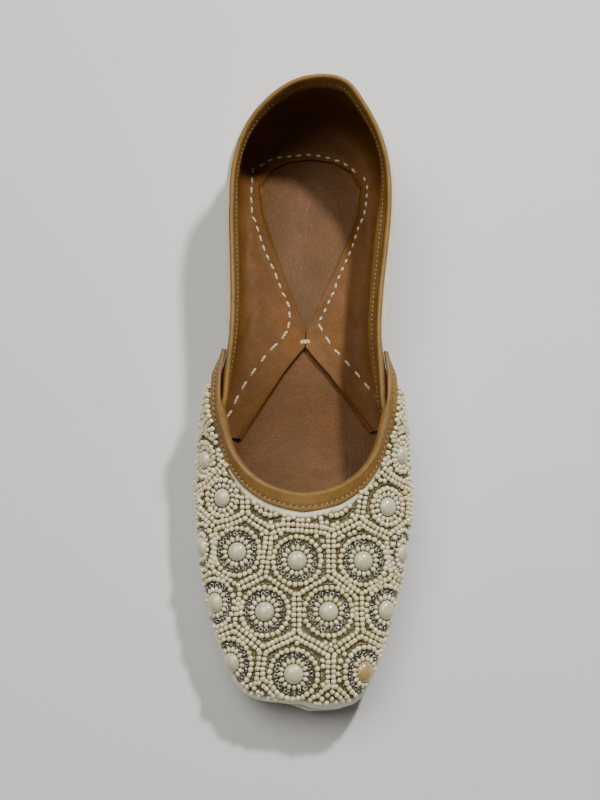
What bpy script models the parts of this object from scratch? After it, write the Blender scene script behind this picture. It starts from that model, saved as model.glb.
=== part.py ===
"""A mojari (jutti): a flat embroidered leather slip-on made on a straight last.

Metres, +Z up. The toe points along -Y, the heel along +Y, and the floor is at Z = 0.
The upper is one skin of ribs. A rib starts at the feather line on the sole, swells to the widest
line, and ends at the topline of the quarters or at the throat of the vamp. Every piece that covers
the upper is worked out from the same skin, at another distance from it.
"""

import math

import bmesh
import bpy
import numpy as np

MM = 0.001

# Last. The counter's peak leans to the right, and the power keeps the lean near the peak.
LENGTH = 250 * MM
BALL_WIDTH = 83.4 * MM
HEEL_WIDTH = 63.6 * MM
COUNTER_HEIGHT = 56.2 * MM
WAIST_HEIGHT = 41 * MM
THROAT_HEIGHT = 35 * MM
THROAT_WIDTH = 62 * MM
THROAT_DEPTH = 51 * MM
VAMP_LENGTH = 77 * MM
HEEL_SWELL = 18 * MM
COUNTER_LEAN = 4.6 * MM
LEAN_POWER = 6

# Leather and cloth
WALL = 1.5 * MM
VAMP_THICKNESS = 1.0 * MM
BINDING_THICKNESS = 0.8 * MM
TAPE_ROLL = 1.3 * MM
INSOLE_THICKNESS = 1.8 * MM
FLAP_THICKNESS = 1.0 * MM
GAP = 0.3 * MM

# Binding tapes, measured down from the edge that they fold over
QUARTER_TAPE_OUTSIDE = 2.6 * MM
QUARTER_TAPE_INSIDE = 5.5 * MM
VAMP_TAPE_OUTSIDE = 7.0 * MM
VAMP_TAPE_INSIDE = 3.5 * MM
WING_DROP = 3.5 * MM

# Sole
SOLE_THICKNESS = 4 * MM
LIFT_THICKNESS = 3.5 * MM
TOE_SPRING = 6.5 * MM
ARCH_RISE = 1.2 * MM
SOLE_TUCK = 1.8 * MM
SOLE_STEP = 1.2 * MM
LIFT_LENGTH = 58 * MM
LIFT_BREAST = 6 * MM
LIFT_INSET = 0.8 * MM

# Lining flaps on the insole
TEARDROP_WIDTH = 42.6 * MM
WAIST_SLIT = 0.5 * MM

# How finely the ribs are laid, and where the points lie on a rib, as shares of its length
RIBS_A_ROW = 2
SKIN_STEPS = 96
TAPE_BENDS = 4
END_ROW = 0.06
LEVELS = (0.0, 0.025, 0.06, 0.10, 0.14, 0.18, 0.22, 0.26, 0.31, 0.37, 0.45, 0.55, 0.66, 0.77, 0.88, 1.0)

# Where the sole's line along the foot bends, as shares of the length from the heel
TOE_SPRING_START = 0.73
TREAD_END = 0.60
SHANK_END = 0.30

# Rows of ribs from the middle of the heel to the wing of the vamp.
# along: widest line's place from the heel end, as a share of the length.
# wide: its half width, as a share of half the heel width.
# top_along, top_wide: the same for the topline.
# fall: how far the topline has come down from the counter's height to the waist's.
# swell: height of the widest line above the sole, as a share of the heel's.
# lean: the wall's slope at the topline, in degrees.
# tuck: how far the sole lies inside the widest line, as a share of its tuck.
QUARTER_COLUMNS = ("along", "wide", "top_along", "top_wide", "fall", "swell", "lean", "tuck")
QUARTER_ROWS = (
    (0.0000, 0.000, 0.0168, 0.000, 0.00, 1.00, 101, 0.9),
    (0.0110, 0.400, 0.0270, 0.350, 0.05, 1.00, 100, 0.9),
    (0.0430, 0.740, 0.0600, 0.640, 0.22, 1.00, 98, 1.0),
    (0.0940, 0.945, 0.1040, 0.862, 0.45, 1.00, 95, 1.1),
    (0.1580, 1.015, 0.1600, 0.985, 0.65, 0.96, 92, 1.3),
    (0.2280, 1.015, 0.2280, 1.004, 0.81, 0.92, 90, 1.6),
    (0.3000, 0.975, 0.3000, 0.970, 0.92, 0.86, 90, 2.0),
    (0.3680, 0.950, 0.3680, 0.930, 0.98, 0.78, 88, 2.2),
)

# Rows of ribs from the wing of the vamp to the middle of the toe.
# along, wide, swell, tuck: as above, with widths as shares of half the ball width.
# throat_along: place on the throat, from its middle back, as a share of its depth.
# throat_wide: its half width, as a share of half the throat width.
# fall: how far the edge has come down from the waist's height to the throat's.
# lean: the skin's slope at the throat, in degrees.
VAMP_COLUMNS = ("along", "wide", "throat_along", "throat_wide", "fall", "swell", "lean", "tuck")
VAMP_ROWS = (
    (0.4300, 0.725, 1.270, 0.940, 0.00, 0.72, 84, 2.0),
    (0.4860, 0.810, 1.020, 0.965, 0.10, 0.66, 79, 1.7),
    (0.5420, 0.900, 0.790, 0.990, 0.28, 0.60, 72, 1.3),
    (0.6080, 0.970, 0.570, 0.985, 0.50, 0.55, 62, 1.0),
    (0.6800, 1.000, 0.350, 0.895, 0.72, 0.52, 50, 1.0),
    (0.7520, 0.960, 0.190, 0.725, 0.88, 0.49, 38, 1.0),
    (0.8200, 0.892, 0.100, 0.545, 0.95, 0.46, 29, 0.9),
    (0.8820, 0.786, 0.050, 0.385, 0.98, 0.42, 22, 0.8),
    (0.9310, 0.662, 0.022, 0.250, 1.00, 0.38, 17, 0.4),
    (0.9670, 0.548, 0.008, 0.145, 1.00, 0.35, 14, -0.3),
    (0.9830, 0.350, 0.002, 0.065, 1.00, 0.34, 12, -1.5),
    (0.9865, 0.000, 0.000, 0.000, 1.00, 0.34, 12, -1.9),
)

# The last's midline wanders a little from straight: share of the length from the heel, and the
# shift to the right as a share of the ball width.
MIDLINE = ((0.0, 0.015), (0.22, 0.015), (0.42, -0.001), (0.55, -0.005), (0.70, 0.001),
           (0.90, -0.001), (1.0, 0.013))

# The lining's inner edge on the insole, from the middle of the heel to the flap's cut end:
# share of the length from the heel, and half width as a share of the teardrop's half width.
# A zero half width is the slit at the waist, where the two flaps meet.
FLAP_EDGE = (
    (0.074, 0.00), (0.078, 0.42), (0.096, 0.80), (0.128, 1.00), (0.176, 0.935), (0.222, 0.775),
    (0.268, 0.570), (0.314, 0.360), (0.368, 0.100), (0.390, 0.00), (0.418, 0.00), (0.462, 0.41),
    (0.512, 0.80), (0.562, 1.20),
)

# The edges of the vamp, in rows of ribs counted from the middle of the heel
WING_ROW = 8.55
WING_SLANT = 0.55
TAPE_MEETING_ROW = 10.5
LIFT_ROWS = 1.2
FLAP_END_ROW = 10.8

MATERIALS = {
    "tan_leather": ((0.36, 0.185, 0.075), 0.55),
    "brown_lining": ((0.23, 0.115, 0.055), 0.5),
    "sole_leather": ((0.42, 0.25, 0.12), 0.62),
    "ivory_cloth": ((0.72, 0.69, 0.6), 0.8),
}


def remove_startup_objects():
    for startup_object in list(bpy.data.objects):
        bpy.data.objects.remove(startup_object, do_unlink=True)


def make_materials():
    made = {}
    for name, (colour, roughness) in MATERIALS.items():
        material = bpy.data.materials.new(name)
        material.use_nodes = True
        shader = material.node_tree.nodes["Principled BSDF"]
        shader.inputs["Base Color"].default_value = (*colour, 1)
        shader.inputs["Roughness"].default_value = roughness
        made[name] = material
    return made


def add_object(name, vertices, faces, material):
    """Makes one closed piece, with its faces turned outwards."""
    mesh = bpy.data.meshes.new(name)
    mesh.from_pydata([tuple(vertex) for vertex in vertices], [], faces)
    shape = bmesh.new()
    shape.from_mesh(mesh)
    bmesh.ops.recalc_face_normals(shape, faces=shape.faces)
    if shape.calc_volume(signed=True) < 0:
        bmesh.ops.reverse_faces(shape, faces=shape.faces)
    shape.to_mesh(mesh)
    shape.free()
    mesh.materials.append(material)
    mesh.shade_smooth()
    mesh.set_sharp_from_angle(angle=math.radians(40))
    piece = bpy.data.objects.new(name, mesh)
    bpy.context.scene.collection.objects.link(piece)
    return piece


def smooth_step(value):
    value = min(max(value, 0.0), 1.0)
    return value * value * (3 - 2 * value)


def place(share):
    """The Y of a share of the length from the heel end."""
    return LENGTH * (0.5 - share)


def share_of(y):
    return 0.5 - y / LENGTH


def midline(y):
    shares = [row[0] for row in MIDLINE]
    shifts = [row[1] for row in MIDLINE]
    return BALL_WIDTH * float(np.interp(share_of(y), shares, shifts))


def tread(y):
    """Height of the outsole's underside, which rests on the floor and on the heel lift."""
    share = share_of(y)
    seat = LIFT_THICKNESS + GAP
    spring = TOE_SPRING * max(0.0, (share - TOE_SPRING_START) / (1 - TOE_SPRING_START)) ** 1.7
    shank = (TREAD_END - share) / (TREAD_END - SHANK_END)
    arch = ARCH_RISE * math.sin(math.pi * min(max(shank, 0.0), 1.0)) ** 2
    return spring + seat * smooth_step(shank) + arch


def sole_top(y):
    return tread(y) + SOLE_THICKNESS


def cubic(values, row):
    """Reads a closed run of values at a place between two rows, along a smooth curve."""
    count = len(values)
    first = math.floor(row)
    t = row - first
    a, b, c, d = (values[(first + step) % count] for step in (-1, 0, 1, 2))
    return 0.5 * (2 * b + (c - a) * t + (2 * a - 5 * b + 4 * c - d) * t ** 2
                  + (3 * b - a - 3 * c + d) * t ** 3)


def half_rows():
    """Both tables as one run of ribs in real sizes, from the heel's middle to the toe's."""
    rows = []
    for cells in QUARTER_ROWS:
        row = dict(zip(QUARTER_COLUMNS, cells))
        rows.append({
            "wide_x": row["wide"] * HEEL_WIDTH / 2,
            "wide_y": place(row["along"]),
            "top_x": row["top_wide"] * HEEL_WIDTH / 2,
            "top_y": place(row["top_along"]),
            "top_z": COUNTER_HEIGHT + (WAIST_HEIGHT - COUNTER_HEIGHT) * row["fall"],
            "lean_of_counter": 1 - row["fall"],
            "swell": row["swell"] * HEEL_SWELL,
            "lean": row["lean"],
            "tuck": row["tuck"] * SOLE_TUCK,
        })
    throat_middle = place(1) + VAMP_LENGTH
    for cells in VAMP_ROWS:
        row = dict(zip(VAMP_COLUMNS, cells))
        rows.append({
            "wide_x": row["wide"] * BALL_WIDTH / 2,
            "wide_y": place(row["along"]),
            "top_x": row["throat_wide"] * THROAT_WIDTH / 2,
            "top_y": throat_middle + row["throat_along"] * THROAT_DEPTH,
            "top_z": WAIST_HEIGHT + (THROAT_HEIGHT - WAIST_HEIGHT) * row["fall"],
            "lean_of_counter": 0.0,
            "swell": row["swell"] * HEEL_SWELL,
            "lean": row["lean"],
            "tuck": row["tuck"] * SOLE_TUCK,
        })
    return rows


def closed_rows():
    """The right half, then the left half mirrored, as one closed run of rows."""
    half = half_rows()
    mirrored = []
    for row in reversed(half[1:-1]):
        other = dict(row)
        other["wide_x"] = -row["wide_x"]
        other["top_x"] = -row["top_x"]
        mirrored.append(other)
    return half + mirrored


ROWS = closed_rows()
TOE_ROW = len(ROWS) // 2


def read_row(key, row):
    return cubic([entry[key] for entry in ROWS], row)


def wide_point(row):
    """Where a rib crosses the widest line, in plan."""
    y = read_row("wide_y", row)
    return np.array([read_row("wide_x", row) + midline(y), y])


def plan_normal(row):
    """Straight out from the widest line, in plan."""
    along = wide_point(row + 0.05) - wide_point(row - 0.05)
    normal = np.array([-along[1], along[0]])
    return normal / np.linalg.norm(normal)


def outward(row):
    normal = plan_normal(row)
    away = wide_point(row) - np.array([0.0, wide_point(row)[1] * 0.8])
    return normal if normal @ away >= 0 else -normal


def sole_point(row, inset=0.0):
    """A point of the sole's outline, in plan, set in from its edge."""
    return wide_point(row) - outward(row) * (read_row("tuck", row) + inset)


def foot_point(row, inset=0.0):
    """A point of the upper's feather line, in plan, set in from it."""
    tuck = max(read_row("tuck", row), 0.0)
    return wide_point(row) - outward(row) * (tuck + SOLE_STEP + inset)


def top_point(row):
    """Where a rib ends: on the topline or on the throat."""
    y = read_row("top_y", row)
    lean = COUNTER_LEAN * max(read_row("lean_of_counter", row), 0.0) ** LEAN_POWER
    return np.array([read_row("top_x", row) + midline(y) + lean, y, read_row("top_z", row)])


def bezier(points, steps):
    t = np.linspace(0, 1, steps)[:, None]
    a, b, c, d = points
    return (1 - t) ** 3 * a + 3 * t * (1 - t) ** 2 * b + 3 * t ** 2 * (1 - t) * c + t ** 3 * d


def rib(row):
    """One rib, as points at even steps from the feather line up to its end."""
    up = np.array([0.0, 0.0, 1.0])
    plan = wide_point(row)
    out = np.append(outward(row), 0.0)
    foot = foot_point(row)
    feather = np.array([foot[0], foot[1], sole_top(foot[1]) + GAP])
    swell = read_row("swell", row)
    wide = np.array([plan[0], plan[1], sole_top(plan[1]) + swell])
    top = top_point(row)
    across = top - wide
    reach = np.linalg.norm(across)
    inward = np.append(across[:2], 0.0) - out * 4 * MM
    inward /= np.linalg.norm(inward)
    lean = math.radians(read_row("lean", row))
    slope = inward * math.cos(lean) + up * math.sin(lean)
    flat = smooth_step((reach - 30 * MM) / (50 * MM))
    rise = reach * (0.42 - 0.30 * flat)
    run = reach * (0.40 + 0.20 * flat)
    inset = np.linalg.norm(plan - foot)
    lower = bezier((feather, feather + out * inset * 0.7 + up * swell * 0.22,
                    wide - up * swell * 0.45, wide), 40)
    upper = bezier((wide, wide + up * rise, top - slope * run, top), 80)
    line = np.vstack([lower, upper[1:]])
    lengths = np.append(0.0, np.cumsum(np.linalg.norm(np.diff(line, axis=0), axis=1)))
    even = np.linspace(0, lengths[-1], SKIN_STEPS + 1)
    return np.stack([np.interp(even, lengths, line[:, axis]) for axis in range(3)], 1)


class Skin:
    """The upper's outer face, read at any row, at any share of a rib and at any distance off it."""

    def __init__(self):
        self.ribs = {}

    def rib_frame(self, row):
        key = round(row % len(ROWS), 6)
        if key not in self.ribs:
            points = rib(key)
            beside = rib(key + 0.08) - rib(key - 0.08)
            along = np.gradient(points, axis=0)
            normals = np.cross(beside, along)
            normals /= np.linalg.norm(normals, axis=1)[:, None]
            middle = SKIN_STEPS // 3
            if normals[middle] @ np.append(outward(key), 0.3) < 0:
                normals = -normals
            length = np.linalg.norm(np.diff(points, axis=0), axis=1).sum()
            self.ribs[key] = (points, normals, length)
        return self.ribs[key]

    def length(self, row):
        return self.rib_frame(row)[2]

    def at(self, row, share, off=0.0):
        points, normals, length = self.rib_frame(row)
        place_on_rib = share * SKIN_STEPS
        inside = min(max(place_on_rib, 0.0), float(SKIN_STEPS))
        low = min(int(inside), SKIN_STEPS - 1)
        part = inside - low
        point = points[low] * (1 - part) + points[low + 1] * part
        normal = normals[low] * (1 - part) + normals[low + 1] * part
        normal = normal / np.linalg.norm(normal)
        beyond = (place_on_rib - inside) / SKIN_STEPS * length
        tip = points[-1] - points[-3]
        point = point + tip / np.linalg.norm(tip) * beyond
        return point + normal * off

    def down(self, row, drop, off=0.0):
        """A point at a distance down from the rib's end."""
        return self.at(row, 1 - drop / self.length(row), off)


SKIN = Skin()


def rows_between(first, last):
    """The shared ribs between two places, with both places."""
    rows = [first]
    step = 1 / RIBS_A_ROW
    rib_number = math.floor(first / step) + 1
    while rib_number * step < last - 0.15 * step:
        if rib_number * step > first + 0.15 * step:
            rows.append(rib_number * step)
        rib_number += 1
    rows.append(last)
    return rows


def sweep(sections, closed):
    """Skins a run of sections with the same number of points, and caps the ends of an open run."""
    count = len(sections[0])
    vertices = [point for section in sections for point in section]
    faces = []
    runs = len(sections) if closed else len(sections) - 1
    for run in range(runs):
        here = run * count
        there = ((run + 1) % len(sections)) * count
        for i in range(count):
            j = (i + 1) % count
            faces.append((here + i, here + j, there + j, there + i))
    return vertices, faces


def cap_strip(faces, first, outer_count):
    """Closes one end of an open run whose section goes up one side and down the other."""
    count = 2 * outer_count
    for i in range(outer_count - 1):
        a, b = i, i + 1
        c, d = count - 2 - i, count - 1 - i
        faces.append((first + a, first + b, first + c, first + d))


def skin_section(row_at, levels, high, near, far):
    """A section between two distances off the skin, with its points at levels of the rib."""
    shares = [high * level for level in levels]
    outside = [SKIN.at(row_at(share), share, far) for share in shares]
    inside = [SKIN.at(row_at(share), share, near) for share in reversed(shares)]
    return outside + inside


def build_upper(material):
    count = len(ROWS) * RIBS_A_ROW
    sections = []
    for number in range(count):
        row = number / RIBS_A_ROW
        sections.append(skin_section(lambda share, row=row: row, LEVELS, 1.0, -WALL, 0.0))
    vertices, faces = sweep(sections, True)
    return add_object("upper", vertices, faces, material)


def rows_from_heel(row):
    """The rib's place counted from the middle of the heel, on either side."""
    return min(row, len(ROWS) - row)


def wing_drop(row):
    """How far the vamp's edge lies below the topline, where it laps over the quarter."""
    past_wing = (rows_from_heel(row) - WING_ROW) / (TAPE_MEETING_ROW - WING_ROW)
    return WING_DROP * (1 - smooth_step(past_wing))


def vamp_lift(row):
    """How far the vamp stands off to clear the quarter's tape, which runs on behind it."""
    past_meeting = (rows_from_heel(row) - TAPE_MEETING_ROW) / LIFT_ROWS
    return (BINDING_THICKNESS + GAP) * (1 - smooth_step(past_meeting))


def wing_slant(row, share):
    """Leans the wing's back edge forward as it goes down."""
    side = 1 if row < TOE_ROW else -1
    near = max(0.0, 1 - (rows_from_heel(row) - WING_ROW) / 2)
    return row + side * WING_SLANT * near * (1 - share)


def build_vamp(material):
    """The embroidered outer panel, from wing to wing round the toe, a little above the sole."""
    levels = LEVELS[1:]
    sections = []
    for row in rows_between(WING_ROW, len(ROWS) - WING_ROW):
        near = GAP + vamp_lift(row)
        far = near + VAMP_THICKNESS
        high = 1 - wing_drop(row) / SKIN.length(row)
        sections.append(skin_section(lambda share, row=row: wing_slant(row, share), levels,
                                     high, near, far))
    vertices, faces = sweep(sections, False)
    cap_strip(faces, 0, len(levels))
    cap_strip(faces, (len(sections) - 1) * 2 * len(levels), len(levels))
    return add_object("vamp", vertices, faces, material)


def tape_section(row_at, edge_drop, inner_face, outer_face, inner_leg, outer_leg):
    """A tape folded over an edge: its outer skin from outside to inside, then its inner skin back."""
    thick = BINDING_THICKNESS
    middle = (inner_face + outer_face) / 2
    half = (outer_face - inner_face) / 2 + thick
    outer_bend = (outer_leg - GAP) / 2
    inner_bend = (inner_leg - GAP) / 2
    outline = [(outer_leg, outer_face + thick), (outer_bend, outer_face + thick)]
    for step in range(TAPE_BENDS + 1):
        angle = math.pi * step / TAPE_BENDS
        outline.append((-GAP - TAPE_ROLL * math.sin(angle), middle + half * math.cos(angle)))
    outline += [(inner_bend, inner_face - thick), (inner_leg, inner_face - thick)]
    back = [(inner_leg, inner_face), (inner_bend, inner_face), (-GAP, inner_face)]
    for step in range(1, TAPE_BENDS):
        share = step / TAPE_BENDS
        back.append((-GAP, inner_face + (outer_face - inner_face) * share))
    back += [(-GAP, outer_face), (outer_bend, outer_face), (outer_leg, outer_face)]
    return [SKIN.down(row_at, edge_drop + drop, off) for drop, off in outline + back]


def build_quarter_binding(material):
    """The tape round the quarters, which ends under the vamp's tape on both sides."""
    last = TAPE_MEETING_ROW
    sections = []
    for row in rows_between(-last, last):
        sections.append(tape_section(row, 0.0, -WALL - GAP, GAP,
                                     QUARTER_TAPE_INSIDE, QUARTER_TAPE_OUTSIDE))
    vertices, faces = sweep(sections, False)
    outer_count = len(sections[0]) // 2
    cap_strip(faces, 0, outer_count)
    cap_strip(faces, (len(sections) - 1) * 2 * outer_count, outer_count)
    return add_object("quarter_binding", vertices, faces, material)


def build_vamp_binding(material):
    """The tape round the throat and along the wings, over the vamp's edge."""
    sections = []
    for row in rows_between(WING_ROW, len(ROWS) - WING_ROW):
        past_meeting = rows_from_heel(row) - TAPE_MEETING_ROW
        over_wall = smooth_step(past_meeting / 0.5)
        down_inside = smooth_step(past_meeting - 0.5)
        near = GAP + vamp_lift(row)
        outer_face = near + VAMP_THICKNESS + GAP
        inner_face = (near + BINDING_THICKNESS) * (1 - over_wall) - (WALL + GAP) * over_wall
        inner_leg = VAMP_TAPE_INSIDE * down_inside - GAP / 2 * (1 - down_inside)
        sections.append(tape_section(row, wing_drop(row), inner_face, outer_face,
                                     inner_leg, VAMP_TAPE_OUTSIDE))
    vertices, faces = sweep(sections, False)
    outer_count = len(sections[0]) // 2
    cap_strip(faces, 0, outer_count)
    cap_strip(faces, (len(sections) - 1) * 2 * outer_count, outer_count)
    return add_object("vamp_binding", vertices, faces, material)


def plate(name, left, right, under, over, material):
    """A sheet between two edges that run side by side, with its own underside and top."""
    count = len(left)
    vertices = []
    for edge, height in ((left, under), (right, under), (left, over), (right, over)):
        for x, y in edge:
            vertices.append((x, y, height(y)))
    faces = []
    for i in range(count - 1):
        a, b = i, i + 1
        faces.append((a, b, count + b, count + a))
        faces.append((2 * count + a, 3 * count + a, 3 * count + b, 2 * count + b))
        faces.append((a, 2 * count + a, 2 * count + b, b))
        faces.append((count + a, count + b, 3 * count + b, 3 * count + a))
    for i in (0, count - 1):
        faces.append((i, count + i, 3 * count + i, 2 * count + i))
    return add_object(name, vertices, faces, material)


def outline_halves(edge_point, inset):
    """An outline as a left edge and a right edge with matching points."""
    rows = rows_between(END_ROW, TOE_ROW - END_ROW)
    right = [edge_point(row, inset) for row in rows]
    left = [edge_point(len(ROWS) - row, inset) for row in rows]
    return left, right


def build_outsole(material):
    left, right = outline_halves(sole_point, 0.0)
    return plate("outsole", left, right, tread, sole_top, material)


def build_insole(material):
    left, right = outline_halves(foot_point, WALL + GAP)

    def under(y):
        return sole_top(y) + GAP

    def over(y):
        return under(y) + INSOLE_THICKNESS

    return plate("insole", left, right, under, over, material)


def build_heel_lift(material):
    """The stacked lift under the heel, with a hollowed breast."""
    rows = []
    row = END_ROW
    while place(0) - sole_point(row, LIFT_INSET)[1] < LIFT_LENGTH:
        rows.append(row)
        row += 0.5
    right = [sole_point(row, LIFT_INSET) for row in rows]
    left = [sole_point(len(ROWS) - row, LIFT_INSET) for row in rows]
    columns = 8
    breast = []
    for column in range(columns + 1):
        share = column / columns
        x = right[-1][0] + (left[-1][0] - right[-1][0]) * share
        y = place(0) - LIFT_LENGTH + LIFT_BREAST * math.sin(math.pi * share)
        breast.append((x, y))
    loop = [tuple(point) for point in right] + breast + [tuple(point) for point in reversed(left)]
    count = len(loop)
    vertices = [(x, y, 0.0) for x, y in loop] + [(x, y, LIFT_THICKNESS) for x, y in loop]
    faces = [tuple(range(count)), tuple(range(count, 2 * count))]
    for i in range(count):
        j = (i + 1) % count
        faces.append((i, j, count + j, count + i))
    return add_object("heel_lift", vertices, faces, material)


def flap_edge_point(share_along_flap):
    """The flap's inner edge, read by its share of the way from heel to cut end."""
    along = np.linspace(0, 1, len(FLAP_EDGE))
    length_share = float(np.interp(share_along_flap, along, [row[0] for row in FLAP_EDGE]))
    width_share = float(np.interp(share_along_flap, along, [row[1] for row in FLAP_EDGE]))
    return width_share * TEARDROP_WIDTH / 2 + WAIST_SLIT / 2, place(length_share)


def build_lining_flaps(material):
    """The lining's turned-in band: round the heel, meeting at the waist, and open to the forefoot."""
    steps = 30
    edges = {}
    for side in (-1, 1):
        inner = []
        outer = []
        for step in range(steps + 1):
            share = step / steps
            x, y = flap_edge_point(share)
            if share == 0:
                x = 0.0
            inner.append((side * x + midline(y), y))
            row = FLAP_END_ROW * share ** 0.95
            outer.append(tuple(foot_point(side * row, WALL + GAP)))
        edges[side] = (inner, outer)
    inner = list(reversed(edges[-1][0]))[:-1] + edges[1][0]
    outer = list(reversed(edges[-1][1]))[:-1] + edges[1][1]

    def under(y):
        return sole_top(y) + GAP + INSOLE_THICKNESS + GAP

    def over(y):
        return under(y) + FLAP_THICKNESS

    return plate("lining_flaps", inner, outer, under, over, material)


def main():
    remove_startup_objects()
    materials = make_materials()
    build_outsole(materials["sole_leather"])
    build_heel_lift(materials["sole_leather"])
    build_insole(materials["brown_lining"])
    build_lining_flaps(materials["brown_lining"])
    build_upper(materials["ivory_cloth"])
    build_vamp(materials["ivory_cloth"])
    build_quarter_binding(materials["tan_leather"])
    build_vamp_binding(materials["tan_leather"])


main()
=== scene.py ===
"""The looks of a mojari (jutti): leather sole and lining, ivory cloth, and an embroidered vamp.

Metres, +Z up, toe along -Y. The skin of ribs is the same as the model's, read more finely, and
every soft piece here is laid on it at the distance that its solid has.
"""

import math

import bmesh
import bpy
import numpy as np
from mathutils import Matrix, Vector
from mathutils.bvhtree import BVHTree


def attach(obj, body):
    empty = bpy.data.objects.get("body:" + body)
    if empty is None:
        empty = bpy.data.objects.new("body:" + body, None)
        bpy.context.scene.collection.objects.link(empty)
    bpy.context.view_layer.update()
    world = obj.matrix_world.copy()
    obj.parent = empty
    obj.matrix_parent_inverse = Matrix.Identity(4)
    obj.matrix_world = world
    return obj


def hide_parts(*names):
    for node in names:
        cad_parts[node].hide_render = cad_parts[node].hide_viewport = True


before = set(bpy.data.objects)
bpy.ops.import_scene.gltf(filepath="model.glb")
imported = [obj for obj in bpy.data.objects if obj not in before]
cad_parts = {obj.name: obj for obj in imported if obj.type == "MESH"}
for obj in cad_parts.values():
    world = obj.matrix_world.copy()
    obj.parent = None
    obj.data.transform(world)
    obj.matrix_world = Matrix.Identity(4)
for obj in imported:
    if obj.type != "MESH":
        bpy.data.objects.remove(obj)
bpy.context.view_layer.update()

MM = 0.001
BODY = "root"
SEED = 11

# Last
LENGTH = 250 * MM
BALL_WIDTH = 83.4 * MM
HEEL_WIDTH = 63.6 * MM
COUNTER_HEIGHT = 56.2 * MM
WAIST_HEIGHT = 41 * MM
THROAT_HEIGHT = 35 * MM
THROAT_WIDTH = 62 * MM
THROAT_DEPTH = 51 * MM
VAMP_LENGTH = 77 * MM
HEEL_SWELL = 18 * MM
COUNTER_LEAN = 4.6 * MM
LEAN_POWER = 6

# Leather and cloth
WALL = 1.5 * MM
VAMP_THICKNESS = 1.0 * MM
INSOLE_THICKNESS = 1.8 * MM
FLAP_THICKNESS = 1.0 * MM
GAP = 0.3 * MM

# How thick the pieces look where they are folded and sewn together, without the solids' clearances
EDGE_WALL = 0.9 * MM
EDGE_VAMP = 0.6 * MM
EDGE_TAPE = 0.55 * MM
EDGE_GAP = 0.05 * MM
EDGE_LIFT = 0.75 * MM

# Binding tapes
QUARTER_TAPE_OUTSIDE = 2.6 * MM
QUARTER_TAPE_INSIDE = 5.5 * MM
VAMP_TAPE_INSIDE = 3.5 * MM
WING_DROP = 3.5 * MM

# Sole
SOLE_THICKNESS = 4 * MM
LIFT_THICKNESS = 3.5 * MM
TOE_SPRING = 6.5 * MM
ARCH_RISE = 1.2 * MM
SOLE_TUCK = 1.8 * MM
SOLE_STEP = 1.2 * MM

# Lining flaps on the insole
TEARDROP_WIDTH = 42.6 * MM
WAIST_SLIT = 0.5 * MM

# How far the lining comes inwards below the topline
WING_FLARE = 1.3 * MM
FLARE_AT_EDGE = 0.5
FLARE_GAIN = 1.5
FLARE_GAIN_RUN = 4.5 * MM
FLARE_LOSS = 1.6
FLARE_LOSS_DROP = 7 * MM
FLARE_LOSS_RUN = 9 * MM
PAD_HEEL = 0.5 * MM
PAD_LEFT = 1.7 * MM
PAD_RIGHT = 3.6 * MM

# How a rib bends between its foot, the widest line and its end
OUTWARD_LEAN = 4 * MM
STEEP_REACH = 30 * MM
FLATTENING_REACH = 50 * MM
STEEP_RISE = 0.42
RISE_LOST = 0.30
STEEP_RUN = 0.40
RUN_GAINED = 0.20
FOOT_BULGE = 0.7
FOOT_RISE = 0.22
SWELL_PULL = 0.45
LOWER_POINTS = 40
UPPER_POINTS = 80

# Unevenness of soft surfaces: how high, how long the waves are, and the seed of each kind of wave
SHELL_RIPPLES = ((0.12 * MM, 17 * MM, 3),)
LINING_RIPPLES = ((0.16 * MM, 15 * MM, 5), (0.05 * MM, 5 * MM, 6))
VAMP_RIPPLES = ((0.14 * MM, 11 * MM, 8), (0.05 * MM, 4 * MM, 9))
TAPE_RIPPLES = ((0.05 * MM, 6 * MM, 12),)
INSOLE_RIPPLES = ((0.08 * MM, 12 * MM, 21),)
RAND_RIPPLES = ((0.16 * MM, 8 * MM, 31),)

# How finely the skin is read
SKIN_STEPS = 96
BESIDE = 0.08
TOE_SPRING_START = 0.73
TREAD_END = 0.60
SHANK_END = 0.30

# Rows of ribs from the middle of the heel to the wing of the vamp, as shares of the last's sizes
ROW_COLUMNS = ("along", "wide", "top_along", "top_wide", "fall", "swell", "lean", "tuck")
QUARTER_ROWS = (
    (0.0000, 0.000, 0.0168, 0.000, 0.00, 1.00, 101, 0.9),
    (0.0110, 0.400, 0.0270, 0.350, 0.05, 1.00, 100, 0.9),
    (0.0430, 0.740, 0.0600, 0.640, 0.22, 1.00, 98, 1.0),
    (0.0940, 0.945, 0.1040, 0.862, 0.45, 1.00, 95, 1.1),
    (0.1580, 1.015, 0.1600, 0.985, 0.65, 0.96, 92, 1.3),
    (0.2280, 1.015, 0.2280, 1.004, 0.81, 0.92, 90, 1.6),
    (0.3000, 0.975, 0.3000, 0.970, 0.92, 0.86, 90, 2.0),
    (0.3680, 0.950, 0.3680, 0.930, 0.98, 0.78, 88, 2.2),
)

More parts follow.
